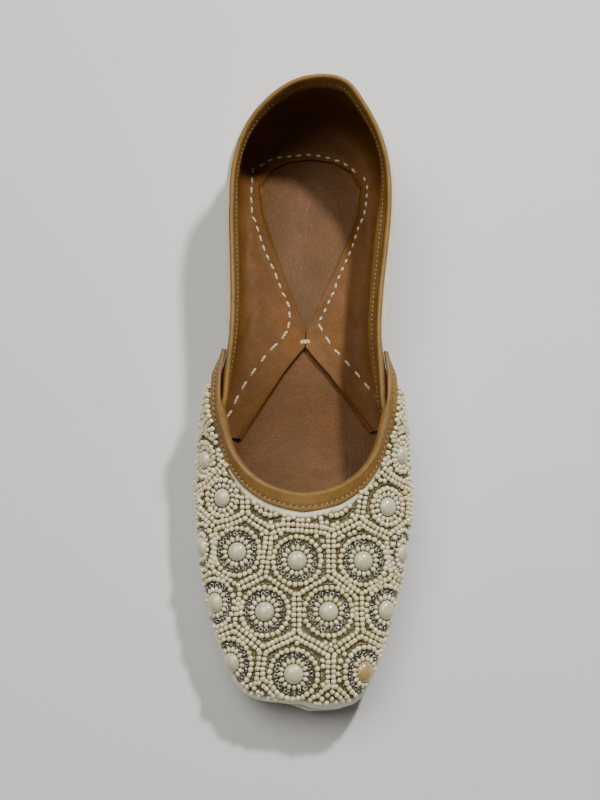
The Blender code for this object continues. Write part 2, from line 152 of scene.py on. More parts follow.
# Rows of ribs from the wing of the vamp to the middle of the toe, in the same columns. Their tops
# lie on the throat, as shares of its depth and width.
VAMP_ROWS = (
    (0.4300, 0.725, 1.270, 0.940, 0.00, 0.72, 84, 2.0),
    (0.4860, 0.810, 1.020, 0.965, 0.10, 0.66, 79, 1.7),
    (0.5420, 0.900, 0.790, 0.990, 0.28, 0.60, 72, 1.3),
    (0.6080, 0.970, 0.570, 0.985, 0.50, 0.55, 62, 1.0),
    (0.6800, 1.000, 0.350, 0.895, 0.72, 0.52, 50, 1.0),
    (0.7520, 0.960, 0.190, 0.725, 0.88, 0.49, 38, 1.0),
    (0.8200, 0.892, 0.100, 0.545, 0.95, 0.46, 29, 0.9),
    (0.8820, 0.786, 0.050, 0.385, 0.98, 0.42, 22, 0.8),
    (0.9310, 0.662, 0.022, 0.250, 1.00, 0.38, 17, 0.4),
    (0.9670, 0.548, 0.008, 0.145, 1.00, 0.35, 14, -0.3),
    (0.9830, 0.350, 0.002, 0.065, 1.00, 0.34, 12, -1.5),
    (0.9865, 0.000, 0.000, 0.000, 1.00, 0.34, 12, -1.9),
)

# The last's midline: share of the length from the heel, and shift as a share of the ball width
MIDLINE = ((0.0, 0.015), (0.22, 0.015), (0.42, -0.001), (0.55, -0.005), (0.70, 0.001),
           (0.90, -0.001), (1.0, 0.013))

# The lining's inner edge on the insole: share of the length, and share of half the teardrop
FLAP_EDGE = (
    (0.074, 0.00), (0.078, 0.42), (0.096, 0.80), (0.128, 1.00), (0.176, 0.935), (0.222, 0.775),
    (0.268, 0.570), (0.314, 0.360), (0.368, 0.100), (0.390, 0.00), (0.418, 0.00), (0.462, 0.41),
    (0.512, 0.80), (0.562, 1.20),
)

# The edges of the vamp and of the lining, in rows of ribs counted from the middle of the heel
WING_ROW = 8.55
WING_SLANT = 0.55
TAPE_MEETING_ROW = 10.5
LIFT_ROWS = 1.2

# Where a feature begins or ends: a row from the middle of the heel, and over how many rows
PAD_GROWS = (3.0, 2.5)
FOLD_ENDS = (7.4, 0.9)
HIDDEN_LEG_GROWS = (8.1, 0.5)
FLARE_OPENS = (WING_ROW, 0.9)
FLARE_CLOSES = (10.2, 1.4)
BEADS_BEGIN = (9.45, 0.4)
FORE_PAD_OPENS = (9.5, 0.9)
FORE_PAD_CLOSES = (11.0, 1.8)
THROAT_MARGIN_GROWS = (11.5, 2.5)
TOE_MARGIN_NARROWS = (14.0, 3.5)
TOE_PADDING_GROWS = (14.0, 4.0)


def smooth_step(value):
    value = min(max(value, 0.0), 1.0)
    return value * value * (3 - 2 * value)


def soft_step(values):
    """The same curve for a whole array."""
    values = np.clip(values, 0.0, 1.0)
    return values * values * (3 - 2 * values)


def unit(vector):
    return vector / np.linalg.norm(vector)


def run_along(points):
    """The length of a line up to each of its points."""
    return np.append(0, np.cumsum(np.linalg.norm(np.diff(points, axis=0), axis=1)))


def read_line(places, run, values):
    """Reads every column of a line's values at places along it."""
    return np.stack([np.interp(places, run, values[:, axis]) for axis in range(values.shape[1])], -1)


def curve(a, b, c, d, t):
    """A smooth curve from b to c, led by its neighbours."""
    return 0.5 * (2 * b + (c - a) * t + (2 * a - 5 * b + 4 * c - d) * t ** 2
                  + (3 * b - a - 3 * c + d) * t ** 3)


def place(share):
    return LENGTH * (0.5 - share)


def share_of(y):
    return 0.5 - y / LENGTH


def midline(y):
    shares = [row[0] for row in MIDLINE]
    shifts = [row[1] for row in MIDLINE]
    return BALL_WIDTH * float(np.interp(share_of(y), shares, shifts))


def tread(y):
    """Height of the outsole's underside."""
    share = share_of(y)
    seat = LIFT_THICKNESS + GAP
    spring = TOE_SPRING * max(0.0, (share - TOE_SPRING_START) / (1 - TOE_SPRING_START)) ** 1.7
    shank = (TREAD_END - share) / (TREAD_END - SHANK_END)
    arch = ARCH_RISE * math.sin(math.pi * min(max(shank, 0.0), 1.0)) ** 2
    return spring + seat * smooth_step(shank) + arch


def sole_top(y):
    return tread(y) + SOLE_THICKNESS


def cubic(values, row):
    """Reads a closed run of values at a place between two rows, along a smooth curve."""
    count = len(values)
    first = math.floor(row)
    t = row - first
    return curve(*(values[(first + step) % count] for step in (-1, 0, 1, 2)), t)


def rib_row(row, width, top_width, top_y, highest, lowest):
    """One row of a table in real sizes."""
    return {
        "wide_x": row["wide"] * width / 2,
        "wide_y": place(row["along"]),
        "top_x": row["top_wide"] * top_width / 2,
        "top_y": top_y,
        "top_z": highest + (lowest - highest) * row["fall"],
        "lean_of_counter": 1 - row["fall"] if highest == COUNTER_HEIGHT else 0.0,
        "swell": row["swell"] * HEEL_SWELL,
        "lean": row["lean"],
        "tuck": row["tuck"] * SOLE_TUCK,
    }


def half_rows():
    """Both tables as one run of ribs, from the heel's middle to the toe's."""
    rows = []
    for cells in QUARTER_ROWS:
        row = dict(zip(ROW_COLUMNS, cells))
        top_y = place(row["top_along"])
        rows.append(rib_row(row, HEEL_WIDTH, HEEL_WIDTH, top_y, COUNTER_HEIGHT, WAIST_HEIGHT))
    for cells in VAMP_ROWS:
        row = dict(zip(ROW_COLUMNS, cells))
        top_y = place(1) + VAMP_LENGTH + row["top_along"] * THROAT_DEPTH
        rows.append(rib_row(row, BALL_WIDTH, THROAT_WIDTH, top_y, WAIST_HEIGHT, THROAT_HEIGHT))
    return rows


def closed_rows():
    half = half_rows()
    mirrored = []
    for row in reversed(half[1:-1]):
        other = dict(row)
        other["wide_x"] = -row["wide_x"]
        other["top_x"] = -row["top_x"]
        mirrored.append(other)
    return half + mirrored


ROWS = closed_rows()
TOE_ROW = len(ROWS) // 2
COLUMNS = {key: [entry[key] for entry in ROWS] for key in ROWS[0]}


def read_row(key, row):
    return cubic(COLUMNS[key], row)


def wide_point(row):
    """Where a rib crosses the widest line, in plan."""
    y = read_row("wide_y", row)
    return np.array([read_row("wide_x", row) + midline(y), y])


def outward(row):
    """Straight out from the widest line, in plan."""
    along = wide_point(row + 0.05) - wide_point(row - 0.05)
    normal = unit(np.array([-along[1], along[0]]))
    away = wide_point(row) - np.array([0.0, wide_point(row)[1] * 0.8])
    return normal if normal @ away >= 0 else -normal


def sole_point(row, inset=0.0):
    return wide_point(row) - outward(row) * (read_row("tuck", row) + inset)


def foot_point(row, inset=0.0):
    """A point of the upper's feather line, in plan, set in from it."""
    tuck = max(read_row("tuck", row), 0.0)
    return wide_point(row) - outward(row) * (tuck + SOLE_STEP + inset)


def top_point(row):
    """Where a rib ends: on the topline or on the throat."""
    y = read_row("top_y", row)
    lean = COUNTER_LEAN * max(read_row("lean_of_counter", row), 0.0) ** LEAN_POWER
    return np.array([read_row("top_x", row) + midline(y) + lean, y, read_row("top_z", row)])


def bezier(points, steps):
    t = np.linspace(0, 1, steps)[:, None]
    a, b, c, d = points
    return (1 - t) ** 3 * a + 3 * t * (1 - t) ** 2 * b + 3 * t ** 2 * (1 - t) * c + t ** 3 * d


def rib(row):
    """One rib, as points at even steps from the feather line up to its end."""
    up = np.array([0.0, 0.0, 1.0])
    plan = wide_point(row)
    out = np.append(outward(row), 0.0)
    foot = foot_point(row)
    feather = np.array([foot[0], foot[1], sole_top(foot[1]) + GAP])
    swell = read_row("swell", row)
    wide = np.array([plan[0], plan[1], sole_top(plan[1]) + swell])
    top = top_point(row)
    across = top - wide
    reach = np.linalg.norm(across)
    inward = unit(np.append(across[:2], 0.0) - out * OUTWARD_LEAN)
    lean = math.radians(read_row("lean", row))
    slope = inward * math.cos(lean) + up * math.sin(lean)
    flat = smooth_step((reach - STEEP_REACH) / FLATTENING_REACH)
    rise = reach * (STEEP_RISE - RISE_LOST * flat)
    run = reach * (STEEP_RUN + RUN_GAINED * flat)
    inset = np.linalg.norm(plan - foot)
    lower = bezier((feather, feather + out * inset * FOOT_BULGE + up * swell * FOOT_RISE,
                    wide - up * swell * SWELL_PULL, wide), LOWER_POINTS)
    upper = bezier((wide, wide + up * rise, top - slope * run, top), UPPER_POINTS)
    line = np.vstack([lower, upper[1:]])
    run = run_along(line)
    return read_line(np.linspace(0, run[-1], SKIN_STEPS + 1), run, line)


class Skin:
    """The upper's outer face, read at any row, at any share of a rib and at any distance off it."""

    def __init__(self):
        self.ribs = {}

    def rib_frame(self, row):
        key = round(row % len(ROWS), 4)
        if key not in self.ribs:
            points = rib(key)
            beside = rib(key + BESIDE) - rib(key - BESIDE)
            along = np.gradient(points, axis=0)
            normals = np.cross(beside, along)
            normals /= np.linalg.norm(normals, axis=1)[:, None]
            middle = SKIN_STEPS // 3
            if normals[middle] @ np.append(outward(key), 0.3) < 0:
                normals = -normals
            length = np.linalg.norm(np.diff(points, axis=0), axis=1).sum()
            self.ribs[key] = (points, normals, length)
        return self.ribs[key]

    def length(self, row):
        return self.rib_frame(row)[2]

    def read(self, row, shares, offs=0.0):
        """Points at several shares of one rib, each at its own distance off the skin."""
        points, normals, length = self.rib_frame(row)
        shares = np.atleast_1d(np.asarray(shares, dtype=float))
        offs = np.broadcast_to(np.asarray(offs, dtype=float), shares.shape)
        steps = np.arange(SKIN_STEPS + 1) / SKIN_STEPS
        inside = np.clip(shares, 0.0, 1.0)
        found = read_line(inside, steps, points)
        facing = read_line(inside, steps, normals)
        facing /= np.linalg.norm(facing, axis=1)[:, None]
        tip = unit(points[-1] - points[-3])
        return found + facing * offs[:, None] + tip * ((shares - inside) * length)[:, None]

    def down(self, row, drops, offs=0.0):
        """Points at distances down from the rib's end."""
        return self.read(row, 1 - np.atleast_1d(drops) / self.length(row), offs)


SKIN = Skin()


def rows_from_heel(row):
    return min(row % len(ROWS), len(ROWS) - row % len(ROWS))


def past(row, first, reach):
    """How far a row has come past the one where a feature begins or ends, from 0 to 1."""
    return smooth_step((rows_from_heel(row) - first) / reach)


def wing_drop(row):
    """How far the vamp's edge lies below the topline, where it laps over the quarter."""
    return WING_DROP * (1 - past(row, WING_ROW, TAPE_MEETING_ROW - WING_ROW))


def vamp_lift(row):
    """How far the vamp stands off to clear the quarter's tape."""
    return EDGE_LIFT * (1 - past(row, TAPE_MEETING_ROW, LIFT_ROWS))


def vamp_face(row):
    """How far the vamp's outer face lies off the skin."""
    return GAP + VAMP_THICKNESS + vamp_lift(row)


def wing_flare(row, drops):
    """How far the wing stands away from the quarter, at distances down from its edge."""
    here = past(row, *FLARE_OPENS) * (1 - past(row, *FLARE_CLOSES))
    drops = np.maximum(np.asarray(drops, dtype=float), 0.0)
    gain = FLARE_GAIN * soft_step(drops / FLARE_GAIN_RUN)
    loss = FLARE_LOSS * soft_step((drops - FLARE_LOSS_DROP) / FLARE_LOSS_RUN)
    return WING_FLARE * here * (FLARE_AT_EDGE + gain - loss)


def inner_pad(row, drops):
    """How far the quarter's padded lining comes inwards below the topline. The right side flares."""
    right = row % len(ROWS) < TOE_ROW
    most = PAD_RIGHT if right else PAD_LEFT
    most = PAD_HEEL + (most - PAD_HEEL) * past(row, *PAD_GROWS)
    return most * np.clip(np.asarray(drops) / QUARTER_TAPE_INSIDE, 0.0, 1.0)


def wing_slant(row, share):
    """Leans the wing's back edge forward as it goes down."""
    side = 1 if row < TOE_ROW else -1
    near = max(0.0, 1 - (rows_from_heel(row) - WING_ROW) / 2)
    return row + side * WING_SLANT * near * (1 - share)


def flap_edge_point(share_along_flap):
    """The flap's inner edge, read by its share of the way from heel to cut end."""
    along = np.linspace(0, 1, len(FLAP_EDGE))
    length_share = float(np.interp(share_along_flap, along, [row[0] for row in FLAP_EDGE]))
    width_share = float(np.interp(share_along_flap, along, [row[1] for row in FLAP_EDGE]))
    return width_share * TEARDROP_WIDTH / 2 + WAIST_SLIT / 2, place(length_share)


def wander(points, size, seed):
    """A smooth unevenness between -1 and 1 at each point, with waves about as long as size."""
    draw = np.random.default_rng(seed)
    points = np.asarray(points, dtype=float)
    total = np.zeros(points.shape[:-1])
    waves = 7
    for _ in range(waves):
        direction = draw.normal(size=3)
        direction /= np.linalg.norm(direction)
        wave = 2 * math.pi / (size * draw.uniform(0.7, 1.7))
        total += np.sin(points @ direction * wave + draw.uniform(0, 2 * math.pi))
    return total / math.sqrt(waves * 2)


def uneven(points, *waves):
    """The sum of several wanders, each with its height, wave length and seed."""
    return sum(wander(points, size, seed) * height for height, size, seed in waves)


def finish_piece(name, mesh, replaced=()):
    """Links a mesh as a piece that rides on the shoe."""
    piece = bpy.data.objects.new(name, mesh)
    bpy.context.scene.collection.objects.link(piece)
    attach(piece, BODY)
    if replaced:
        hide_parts(*replaced)
    return piece


def mesh_from(name, vertices, faces, materials, face_materials=None, sharp=None):
    """A mesh with its faces turned outwards, shaded smooth."""
    mesh = bpy.data.meshes.new(name)
    mesh.from_pydata(np.asarray(vertices).tolist(), [], [tuple(face) for face in faces])
    for material in materials:
        mesh.materials.append(material)
    if face_materials is not None:
        mesh.polygons.foreach_set("material_index", np.asarray(face_materials, dtype=np.int32))
    shape = bmesh.new()
    shape.from_mesh(mesh)
    bmesh.ops.recalc_face_normals(shape, faces=shape.faces)
    if shape.calc_volume(signed=True) < 0:
        bmesh.ops.reverse_faces(shape, faces=shape.faces)
    shape.to_mesh(mesh)
    shape.free()
    mesh.shade_smooth()
    if sharp is not None:
        mesh.set_sharp_from_angle(angle=math.radians(sharp))
    return mesh


def grid_faces(rows, columns, first, ring_rows=False):
    """Faces of a grid of points that starts at one index."""
    faces = []
    for i in range(rows if ring_rows else rows - 1):
        for j in range(columns - 1):
            a = first + i * columns + j
            b = first + ((i + 1) % rows) * columns + j
            faces.append((a, a + 1, b + 1, b))
    return faces


def solid_between(name, top, under, materials, ring_rows=False, sharp=50, rim=0):
    """A closed sheet between two grids of points. The second material is the under side's."""
    rows, columns = top.shape[:2]
    count = rows * columns
    vertices = np.vstack([top.reshape(-1, 3), under.reshape(-1, 3)])
    faces = grid_faces(rows, columns, 0, ring_rows) + grid_faces(rows, columns, count, ring_rows)
    half = len(faces) // 2
    kinds = [0] * half + [min(1, len(materials) - 1)] * half
    for i in range(rows if ring_rows else rows - 1):
        j = (i + 1) % rows
        for column in (0, columns - 1):
            a, b = i * columns + column, j * columns + column
            faces.append((a, b, count + b, count + a))
            kinds.append(rim)
    if not ring_rows:
        for i in (0, rows - 1):
            for column in range(columns - 1):
                a = i * columns + column
                faces.append((a, a + 1, count + a + 1, count + a))
                kinds.append(0)
    return mesh_from(name, vertices, faces, materials, kinds, sharp)


def normals_of(grid):
    """The normals of a grid of points."""
    along = np.gradient(grid, axis=0)
    across = np.gradient(grid, axis=1)
    normals = np.cross(along, across)
    return normals / np.maximum(np.linalg.norm(normals, axis=2), 1e-12)[:, :, None]


def facing_up(grid, *levels):
    """The normals of a grid, turned so that its middle row looks up at the named levels."""
    normals = normals_of(grid)
    middle = len(grid) // 2
    return -normals if all(normals[middle, level, 2] < 0 for level in levels) else normals


def write_layer(mesh, name, values):
    """Keeps one number for each point of a mesh, which its material reads."""
    layer = mesh.attributes.new(name, "FLOAT", "POINT")
    layer.data.foreach_set("value", np.asarray(values, dtype=np.float32))


def sewn_piece(name, vertices, faces, material, tones):
    """One mesh of many small trims, each with its own tone."""
    mesh = bpy.data.meshes.new(name)
    mesh.from_pydata(vertices.tolist(), [], faces)
    mesh.materials.append(material)
    mesh.shade_smooth()
    write_layer(mesh, "tone", tones)
    return finish_piece(name, mesh)


def search_tree(grid):
    """The faces of a grid of points, ready to be searched."""
    rows, columns = grid.shape[:2]
    points = [Vector(point) for point in grid.reshape(-1, 3)]
    return BVHTree.FromPolygons(points, grid_faces(rows, columns, 0))


def soften_edges(piece, width, segments=2):
    """Rounds the cut edges of a piece."""
    bevel = piece.modifiers.new("rounded_edges", "BEVEL")
    bevel.width = width
    bevel.segments = segments
    bevel.limit_method = "ANGLE"
    bevel.angle_limit = math.radians(50)
    bevel.harden_normals = False


# Materials
WAVES_PER_UNIT = 0.314
LEATHER_SPECULAR = 0.20


def new_material(name, colour, roughness, **extra):
    """A principled material. Extra values go to the shader's own sockets."""
    material = bpy.data.materials.new(name)
    material.use_nodes = True
    shader = material.node_tree.nodes["Principled BSDF"]
    shader.inputs["Base Color"].default_value = (*colour, 1)
    shader.inputs["Roughness"].default_value = roughness
    for socket, value in extra.items():
        shader.inputs[socket.replace("_", " ")].default_value = value
    return material


class Nodes:
    """Short ways to add nodes to one material."""

    def __init__(self, material):
        self.tree = material.node_tree
        self.shader = self.tree.nodes["Principled BSDF"]
        self.place = self.add("ShaderNodeTexCoord").outputs["Object"]

    def add(self, kind, sockets=None, **values):
        """A node, with values of its own and of its sockets."""
        node = self.tree.nodes.new(kind)
        for key, value in values.items():
            setattr(node, key, value)
        for socket, value in (sockets or {}).items():
            node.inputs[socket].default_value = value
        return node

    def link(self, source, target):
        self.tree.links.new(source, target)

    def texture(self, kind, output, sockets, **values):
        """A texture laid through the solid in the shoe's own sizes."""
        node = self.add(kind, sockets, **values)
        self.link(self.place, node.inputs["Vector"])
        return node.outputs[output]

    def noise(self, size, detail=3.0, roughness=0.5, distortion=0.0):
        """Noise whose features are about one size across, in metres."""
        sockets = {"Scale": 1 / size, "Detail": detail, "Roughness": roughness, "Distortion": distortion}
        return self.texture("ShaderNodeTexNoise", "Fac", sockets)

    def cells(self, size):
        """Soft round cells about one size across."""
        return self.texture("ShaderNodeTexVoronoi", "Distance", {"Scale": 1 / size}, feature="SMOOTH_F1")

    def weave(self, size, direction):
        """The ribs of one set of threads, running across one axis."""
        sockets = {"Scale": WAVES_PER_UNIT / size, "Distortion": 0.8, "Detail": 1.0}
        return self.texture("ShaderNodeTexWave", "Fac", sockets, wave_type="BANDS",
                            bands_direction=direction)

    def attribute(self, name):
        return self.add("ShaderNodeAttribute", attribute_name=name).outputs["Fac"]

    def spread(self, factor, low, high, to_low=0.0, to_high=1.0):
        """Stretches the part of a factor between low and high."""
        sockets = {"From Min": low, "From Max": high, "To Min": to_low, "To Max": to_high}
        node = self.add("ShaderNodeMapRange", sockets, interpolation_type="SMOOTHSTEP")
        self.link(factor, node.inputs["Value"])
        return node.outputs["Result"]

    def sum(self, first, second):
        node = self.add("ShaderNodeMath", operation="ADD")
        self.link(first, node.inputs[0])
        self.link(second, node.inputs[1])
        return node.outputs[0]

    def mix(self, factor, first, second):
        """A colour between two, each a tuple or another node's colour."""
        node = self.add("ShaderNodeMix", data_type="RGBA")
        self.link(factor, node.inputs[0])
        for colour, socket in ((first, node.inputs[6]), (second, node.inputs[7])):
            if isinstance(colour, tuple):
                socket.default_value = (*colour, 1)
            else:
                self.link(colour, socket)
        return node.outputs[2]

    def bump(self, height, distance, strength, before=None):
        node = self.add("ShaderNodeBump", {"Distance": distance, "Strength": strength})
        self.link(height, node.inputs["Height"])
        if before is not None:
            self.link(before, node.inputs["Normal"])
        return node.outputs["Normal"]

    def colour(self, source):
        self.link(source, self.shader.inputs["Base Color"])

    def roughness(self, source):
        self.link(source, self.shader.inputs["Roughness"])

    def normal(self, source):
        self.link(source, self.shader.inputs["Normal"])


def darker(colour, share):
    return tuple(channel * share for channel in colour)


def leather(name, colour, roughness, grain=0.45 * MM, depth=0.05 * MM, shift=0.82, sheen=0.0):
    """Vegetable-tanned leather: cloudy colour, pores, fine pebbled grain and rubbed places."""
    material = new_material(name, colour, roughness, Coat_Weight=sheen, Coat_Roughness=0.4,
                            Specular_IOR_Level=LEATHER_SPECULAR)
    nodes = Nodes(material)
    cloud = nodes.spread(nodes.noise(14 * MM, 4.0, 0.6), 0.35, 0.68)
    warm = (colour[0] * 1.10, colour[1] * 1.04, colour[2] * 0.98)
    tone = nodes.mix(cloud, darker(colour, shift), warm)
    specks = nodes.spread(nodes.noise(1.1 * MM, 3.0, 0.7), 0.30, 0.62)
    tone = nodes.mix(specks, nodes.mix(cloud, darker(colour, 0.72), darker(colour, 0.84)), tone)
    nodes.colour(tone)
    rubbed = nodes.spread(nodes.noise(5 * MM, 5.0, 0.6), 0.3, 0.7, roughness + 0.08, roughness - 0.08)
    nodes.roughness(rubbed)
    pebbles = nodes.cells(grain)
    creases = nodes.noise(3.2 * MM, 4.0, 0.65, 0.4)
    first = nodes.bump(creases, depth * 3, 0.5)
    nodes.normal(nodes.bump(pebbles, depth, 0.8, first))
    return material


def ivory_cloth(name, colour, plain_share=None):
    """Ivory silk cloth with a fine weave. Where the beads are sewn on, the ground is darker olive: partly the
    olive thread's own colour and partly painted shade between the beads.
    """
    material = new_material(name, colour, 0.72, Sheen_Weight=0.25, Sheen_Roughness=0.4)
    nodes = Nodes(material)
    cloud = nodes.spread(nodes.noise(9 * MM, 3.0, 0.55), 0.3, 0.7)
    tone = nodes.mix(cloud, darker(colour, 0.86), colour)
    weave = nodes.sum(nodes.weave(0.32 * MM, "X"), nodes.weave(0.32 * MM, "Y"))
    if plain_share is not None:
        under_beads = nodes.attribute(plain_share)
        ground = nodes.spread(nodes.noise(1.6 * MM, 3.0, 0.6), 0.35, 0.65)
        # Painted shade between the beads, mixed with the olive thread's own colour, darkens the cloth where
        # beads are sewn
        olive_thread_and_shade = nodes.mix(ground, (0.105, 0.088, 0.040), (0.215, 0.185, 0.105))
        tone = nodes.mix(under_beads, tone, olive_thread_and_shade)
    nodes.colour(tone)
    puckers = nodes.noise(2.4 * MM, 3.0, 0.6)
    first = nodes.bump(puckers, 0.25 * MM, 0.5)
    nodes.normal(nodes.bump(weave, 0.04 * MM, 0.7, first))
    return material


def pearly(name, colour, roughness=0.30, coat=1.0, spread_of_tones=0.74):
    """Glass or shell with a soft lustre, and a slightly different tone from bead to bead."""
    material = new_material(name, colour, roughness, Coat_Weight=coat, Coat_Roughness=0.11,
                            Specular_IOR_Level=0.8, Subsurface_Weight=0.12, Subsurface_Scale=0.4 * MM)
    nodes = Nodes(material)
    tones = nodes.attribute("tone")
    warm = (colour[0] * 1.02, colour[1] * 0.96, colour[2] * 0.80)
    tone = nodes.mix(tones, darker(warm, spread_of_tones), colour)
    dirt = nodes.spread(nodes.noise(0.9 * MM, 2.0, 0.6), 0.28, 0.6)
    nodes.colour(nodes.mix(dirt, nodes.mix(tones, darker(warm, 0.62), darker(colour, 0.78)), tone))
    nodes.normal(nodes.bump(nodes.noise(0.8 * MM, 2.0), 0.03 * MM, 0.4))
    return material


def metallic(name, colour, roughness):
    material = new_material(name, colour, roughness, Metallic=1.0)
    nodes = Nodes(material)
    worn = nodes.spread(nodes.noise(1.4 * MM, 3.0, 0.6), 0.3, 0.7)
    nodes.colour(nodes.mix(worn, darker(colour, 0.45), colour))
    nodes.roughness(nodes.spread(nodes.noise(0.7 * MM, 2.0), 0.3, 0.7, roughness, roughness + 0.2))
    return material


def thread_material(name, colour):
    material = new_material(name, colour, 0.7, Sheen_Weight=0.3)
    nodes = Nodes(material)
    fibres = nodes.noise(0.35 * MM, 3.0, 0.7)
    nodes.colour(nodes.mix(nodes.spread(fibres, 0.3, 0.7), darker(colour, 0.72), colour))
    nodes.normal(nodes.bump(fibres, 0.05 * MM, 0.6))
    return material


LINING = leather("lining_leather_look", (0.165, 0.070, 0.015), 0.60)
FORE_LINING = leather("fore_lining_look", (0.150, 0.062, 0.013), 0.55)
INSOLE = leather("insole_leather_look", (0.128, 0.051, 0.008), 0.42, 0.75 * MM, 0.09 * MM, sheen=0.04)
TAPE = leather("tape_leather_look", (0.232, 0.127, 0.034), 0.48, 0.35 * MM, shift=0.86, sheen=0.25)
SOLE = leather("sole_leather_look", (0.36, 0.215, 0.105), 0.62, 0.8 * MM, 0.07 * MM)
STACK = leather("stack_leather_look", (0.30, 0.170, 0.080), 0.60, 0.8 * MM, 0.07 * MM)
CLOTH = ivory_cloth("plain_cloth_look", (0.80, 0.765, 0.61))
# Under its beads this cloth is darkened partly by painted shade
VAMP_CLOTH = ivory_cloth("vamp_cloth_look", (0.92, 0.88, 0.71), "under_beads")
THREAD = thread_material("thread_look", (0.80, 0.68, 0.50))
TAN_THREAD = thread_material("tan_thread_look", (0.50, 0.36, 0.20))
# Near-black: the painted shade inside the tapes' pricked needle holes
HOLE_SHADE = thread_material("hole_shade_look", (0.02, 0.012, 0.006))
IVORY_BEAD = pearly("ivory_bead_look", (0.91, 0.85, 0.585))
PETAL_BEAD = pearly("petal_bead_look", (0.86, 0.81, 0.60), 0.3, 0.8)
PEARL = pearly("pearl_look", (0.68, 0.64, 0.475), 0.28, 0.9)
GOLD_PEARL = pearly("gold_pearl_look", (0.48, 0.335, 0.14), 0.25, 1.0)
SILVER = metallic("silver_bead_look", (0.62, 0.60, 0.55), 0.22)
GOLD = metallic("gold_wire_look", (0.52, 0.43, 0.21), 0.30)


# The upper, as cloth outside and leather inside
SHELL_RIBS = 8
SHELL_LEVELS = 90
FORE_PAD = 5.0 * MM
EDGE_FOLD = 2.4 * MM
EDGE_FOLD_DROP = 3.9 * MM
EDGE_FOLD_WIDTH = 1.1 * MM


def edge_fold(row, shares):
    """The quarters' cloth is turned over a welt below the tape, which shows as a pale line."""
    drops = (1 - shares) * SKIN.length(row)
    here = 1 - past(row, *FOLD_ENDS)
    return EDGE_FOLD * here * np.exp(-((drops - EDGE_FOLD_DROP) / EDGE_FOLD_WIDTH) ** 2)


def fore_pad(row, shares):
    """How far the lining of the forepart stands in at the foot, where the waist flaps end."""
    near = past(row, *FORE_PAD_OPENS) * (1 - past(row, *FORE_PAD_CLOSES))
    return FORE_PAD * near * np.clip(1.15 - 1.6 * shares, 0.0, 1.0) * soft_step(shares / 0.1)


def build_shell():
    count = len(ROWS) * SHELL_RIBS
    shares = np.linspace(0, 1, SHELL_LEVELS)
    outside = np.stack([SKIN.read(i / SHELL_RIBS, shares, edge_fold(i / SHELL_RIBS, shares))
                        for i in range(count)])
    inside = np.stack([SKIN.read(i / SHELL_RIBS, shares, -EDGE_WALL - fore_pad(i / SHELL_RIBS, shares))
                       for i in range(count)])
    crumple = uneven(inside, *SHELL_RIPPLES)[:, :, None] * normals_of(inside)
    fade = np.minimum(1, np.minimum(shares, 1 - shares) * 6)[None, :, None]
    inside = inside + crumple * fade
    mesh = solid_between("upper_shell", outside, inside, (CLOTH, FORE_LINING), True, rim=1)
    finish_piece("upper_shell", mesh, ("upper",))


# The lining: down the wall, round a soft corner, and in over the insole
LINING_OFF = 0.12 * MM
LINING_TOP_DROP = 3.0 * MM
LINING_THICKNESS = 0.10 * MM
LINING_RIBS = 301
LINING_EDGE = 0.22 * MM
LINING_BELOW = 0.25 * MM
FLAP_LOOK_THICKNESS = 0.9 * MM
CORNER_RISE = 6.5 * MM
CORNER_RUN = 5.0 * MM
WALL_POINTS = 26
CORNER_POINTS = 12
FLAP_POINTS = 22

# The lining's creases, in the shoe's sizes: middle, direction, half length, half width, depth
CREASE_COLUMNS = ("x", "y", "turn", "half_length", "half_width", "depth")
LINING_CREASES = (
    (-25, 62, 84, 16, 2.6, 0.35),
    (-22, 30, 70, 12, 2.0, 0.30),
    (-20, -2, 40, 9, 1.6, 0.25),
    (26, 70, 96, 15, 2.4, 0.30),
    (21, 34, 112, 12, 2.0, 0.28),
    (23, 2, 135, 9, 1.8, 0.25),
    (3, 104, 4, 14, 2.2, 0.25),
)

# The flaps' front ends: how far each edge shifts there, the row where it is cut, and its curl
LEFT_SHIFT = -1.4 * MM
RIGHT_SHIFT = 3.3 * MM
SHIFT_FROM = 0.80
LEFT_CUT_ROW = 10.34
RIGHT_CUT_ROW = 10.12
LEFT_EDGE_END = 1.015
RIGHT_EDGE_END = 0.992
EDGE_POWER = 1 / 0.95
EDGE_END_SHARE = 0.95
EDGE_END_RUN = 0.05
EDGE_CURL = 1.0 * MM


def flap_plane(y):
    """The flap's upper face, over the insole."""
    return sole_top(y) + GAP + INSOLE_THICKNESS + GAP + FLAP_THICKNESS


def crease_depths(points, creases):
    """How far soft troughs press each point down."""
    depth = np.zeros(points.shape[:-1])
    for cells in creases:
        crease = dict(zip(CREASE_COLUMNS, cells))
        turn = math.radians(crease["turn"])
        x = points[..., 0] / MM - crease["x"]
        y = points[..., 1] / MM - crease["y"]
        along = (x * math.cos(turn) + y * math.sin(turn)) / crease["half_length"]
        across = (y * math.cos(turn) - x * math.sin(turn)) / crease["half_width"]
        depth += crease["depth"] * MM * np.exp(-along ** 2 - across ** 2) * (1 - 0.8 * across ** 2)
    return depth


def flap_edge(side, rows):
    """The flap's inner edge on one side, at a number of rows from the middle of the heel."""
    right = side > 0
    cut_row, edge_end = (RIGHT_CUT_ROW, RIGHT_EDGE_END) if right else (LEFT_CUT_ROW, LEFT_EDGE_END)
    share = edge_end * (rows / cut_row) ** EDGE_POWER
    x, y = flap_edge_point(min(share, 1.0))
    if share > 1:
        x_before, y_before = flap_edge_point(EDGE_END_SHARE)
        x += (x - x_before) * (share - 1) / EDGE_END_RUN
        y += (y - y_before) * (share - 1) / EDGE_END_RUN
    if share == 0:
        x = 0.0
    x += (RIGHT_SHIFT if right else LEFT_SHIFT) * max(0.0, (share - SHIFT_FROM) / (1 - SHIFT_FROM))
    return np.array([side * x + midline(y), y, flap_plane(y)])


